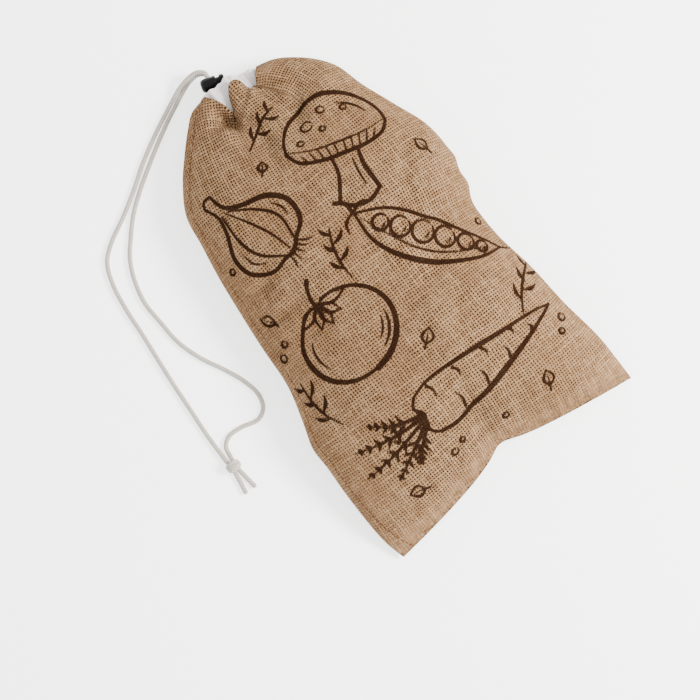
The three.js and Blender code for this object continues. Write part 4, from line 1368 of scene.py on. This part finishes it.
def make_barrel():
    shell = oval_mesh("lock_barrel", [
        (0, 0.42), (0.12, 0.54), (0.35, 0.68), (0.8, 0.8), (1.4, 0.88), (2.2, 0.94), (3.2, 0.985),
        (4.4, 1), (BARREL_LENGTH - 1.6, 1), (BARREL_LENGTH - 0.8, 0.99), (BARREL_LENGTH - 0.25, 0.95),
        (BARREL_LENGTH, 0.9),
    ], LOCK_WIDTH / 2, BARREL_HALF_HEIGHT)
    cut(shell, oval_mesh(
        "bore", [(LOCK_WALL, 0.8), (LOCK_WALL + 1, 1), (BARREL_LENGTH + 1, 1)],
        STEM_HALF_WIDTH + SLIDE_CLEARANCE, STEM_HALF_HEIGHT + SLIDE_CLEARANCE,
    ))
    half = CORD_RADIUS + STRAND_CLEARANCE
    cut(shell, box_mesh("cross_slot", STRAND_X - half, STRAND_X + half, 2 * LOCK_WIDTH, SLOT_HEIGHT))
    finish_lock_piece(shell, "cord_lock_barrel", "bag")


def make_plunger():
    body = oval_mesh("lock_plunger", [
        (STEM_START, 0.72), (STEM_START + 0.8, 1), (BARREL_LENGTH - 0.1, 1), (BARREL_LENGTH + 0.4, 0.9),
        (BUTTON_START - 0.1, 0.9), (BUTTON_START, 1.1), (BUTTON_START + 0.25, 1.18),
        (BUTTON_START + 0.6, 1.21), (BUTTON_END - 1.5, 1.21), (BUTTON_END - 0.9, 1.17),
        (BUTTON_END - 0.35, 1.06), (BUTTON_END - 0.08, 0.9), (BUTTON_END, 0.75),
    ], STEM_HALF_WIDTH, STEM_HALF_HEIGHT)
    cut(body, box_mesh("stem_slot", STEM_START + STEM_FLOOR, STEM_SLOT_END, 2 * LOCK_WIDTH, SLOT_HEIGHT))
    finish_lock_piece(body, "cord_lock_plunger", "plunger")


make_band()
make_held_cord()
make_barrel()
make_plunger()


# Light and floor

FLOOR_HALF = 6000.0
FLOOR_DROP = 0.2
FLOOR_GLOW = 1.8


def make_floor():
    s = Shader("pale_floor")
    s.put({
        "Base Color": (0.96, 0.96, 0.96), "Roughness": 0.75,
        "Emission Color": (1.0, 1.0, 1.0), "Emission Strength": FLOOR_GLOW,
    }, s.surface)
    corners = [(FLOOR_HALF * x, FLOOR_HALF * y, 0) for x, y in ((-1, -1), (1, -1), (1, 1), (-1, 1))]
    floor = plain_mesh("floor", corners, [(0, 1, 2, 3)])
    floor.data.materials.append(s.material)
    floor.location.z = -FLOOR_DROP * MM


LIGHT_TARGET = Vector((0.0, 0.0, 0.02))
WORLD_STRENGTH = 1.75
LIGHTS = {  # place, size in metres, power in watts and colour
    "key": ((0.95, -0.55, 1.05), 0.55, 68.0, (1.0, 0.98, 0.95)),
    "fill": ((-0.9, 0.5, 1.4), 1.2, 3.0, (0.96, 0.98, 1.0)),
}


def area_light(name, place, size, power, colour):
    data = bpy.data.lights.new(name, "AREA")
    data.shape = "DISK"
    data.size = size
    data.energy = power
    data.color = colour
    light = bpy.data.objects.new(name, data)
    light.location = place
    light.rotation_euler = (LIGHT_TARGET - Vector(place)).to_track_quat("-Z", "Y").to_euler()
    bpy.context.scene.collection.objects.link(light)


def make_light():
    world = bpy.data.worlds.new("studio")
    world.use_nodes = True
    background = world.node_tree.nodes["Background"]
    background.inputs["Color"].default_value = (1.0, 1.0, 1.0, 1.0)
    background.inputs["Strength"].default_value = WORLD_STRENGTH
    bpy.context.scene.world = world
    for name, values in LIGHTS.items():
        area_light(name, *values)


make_floor()
make_light()
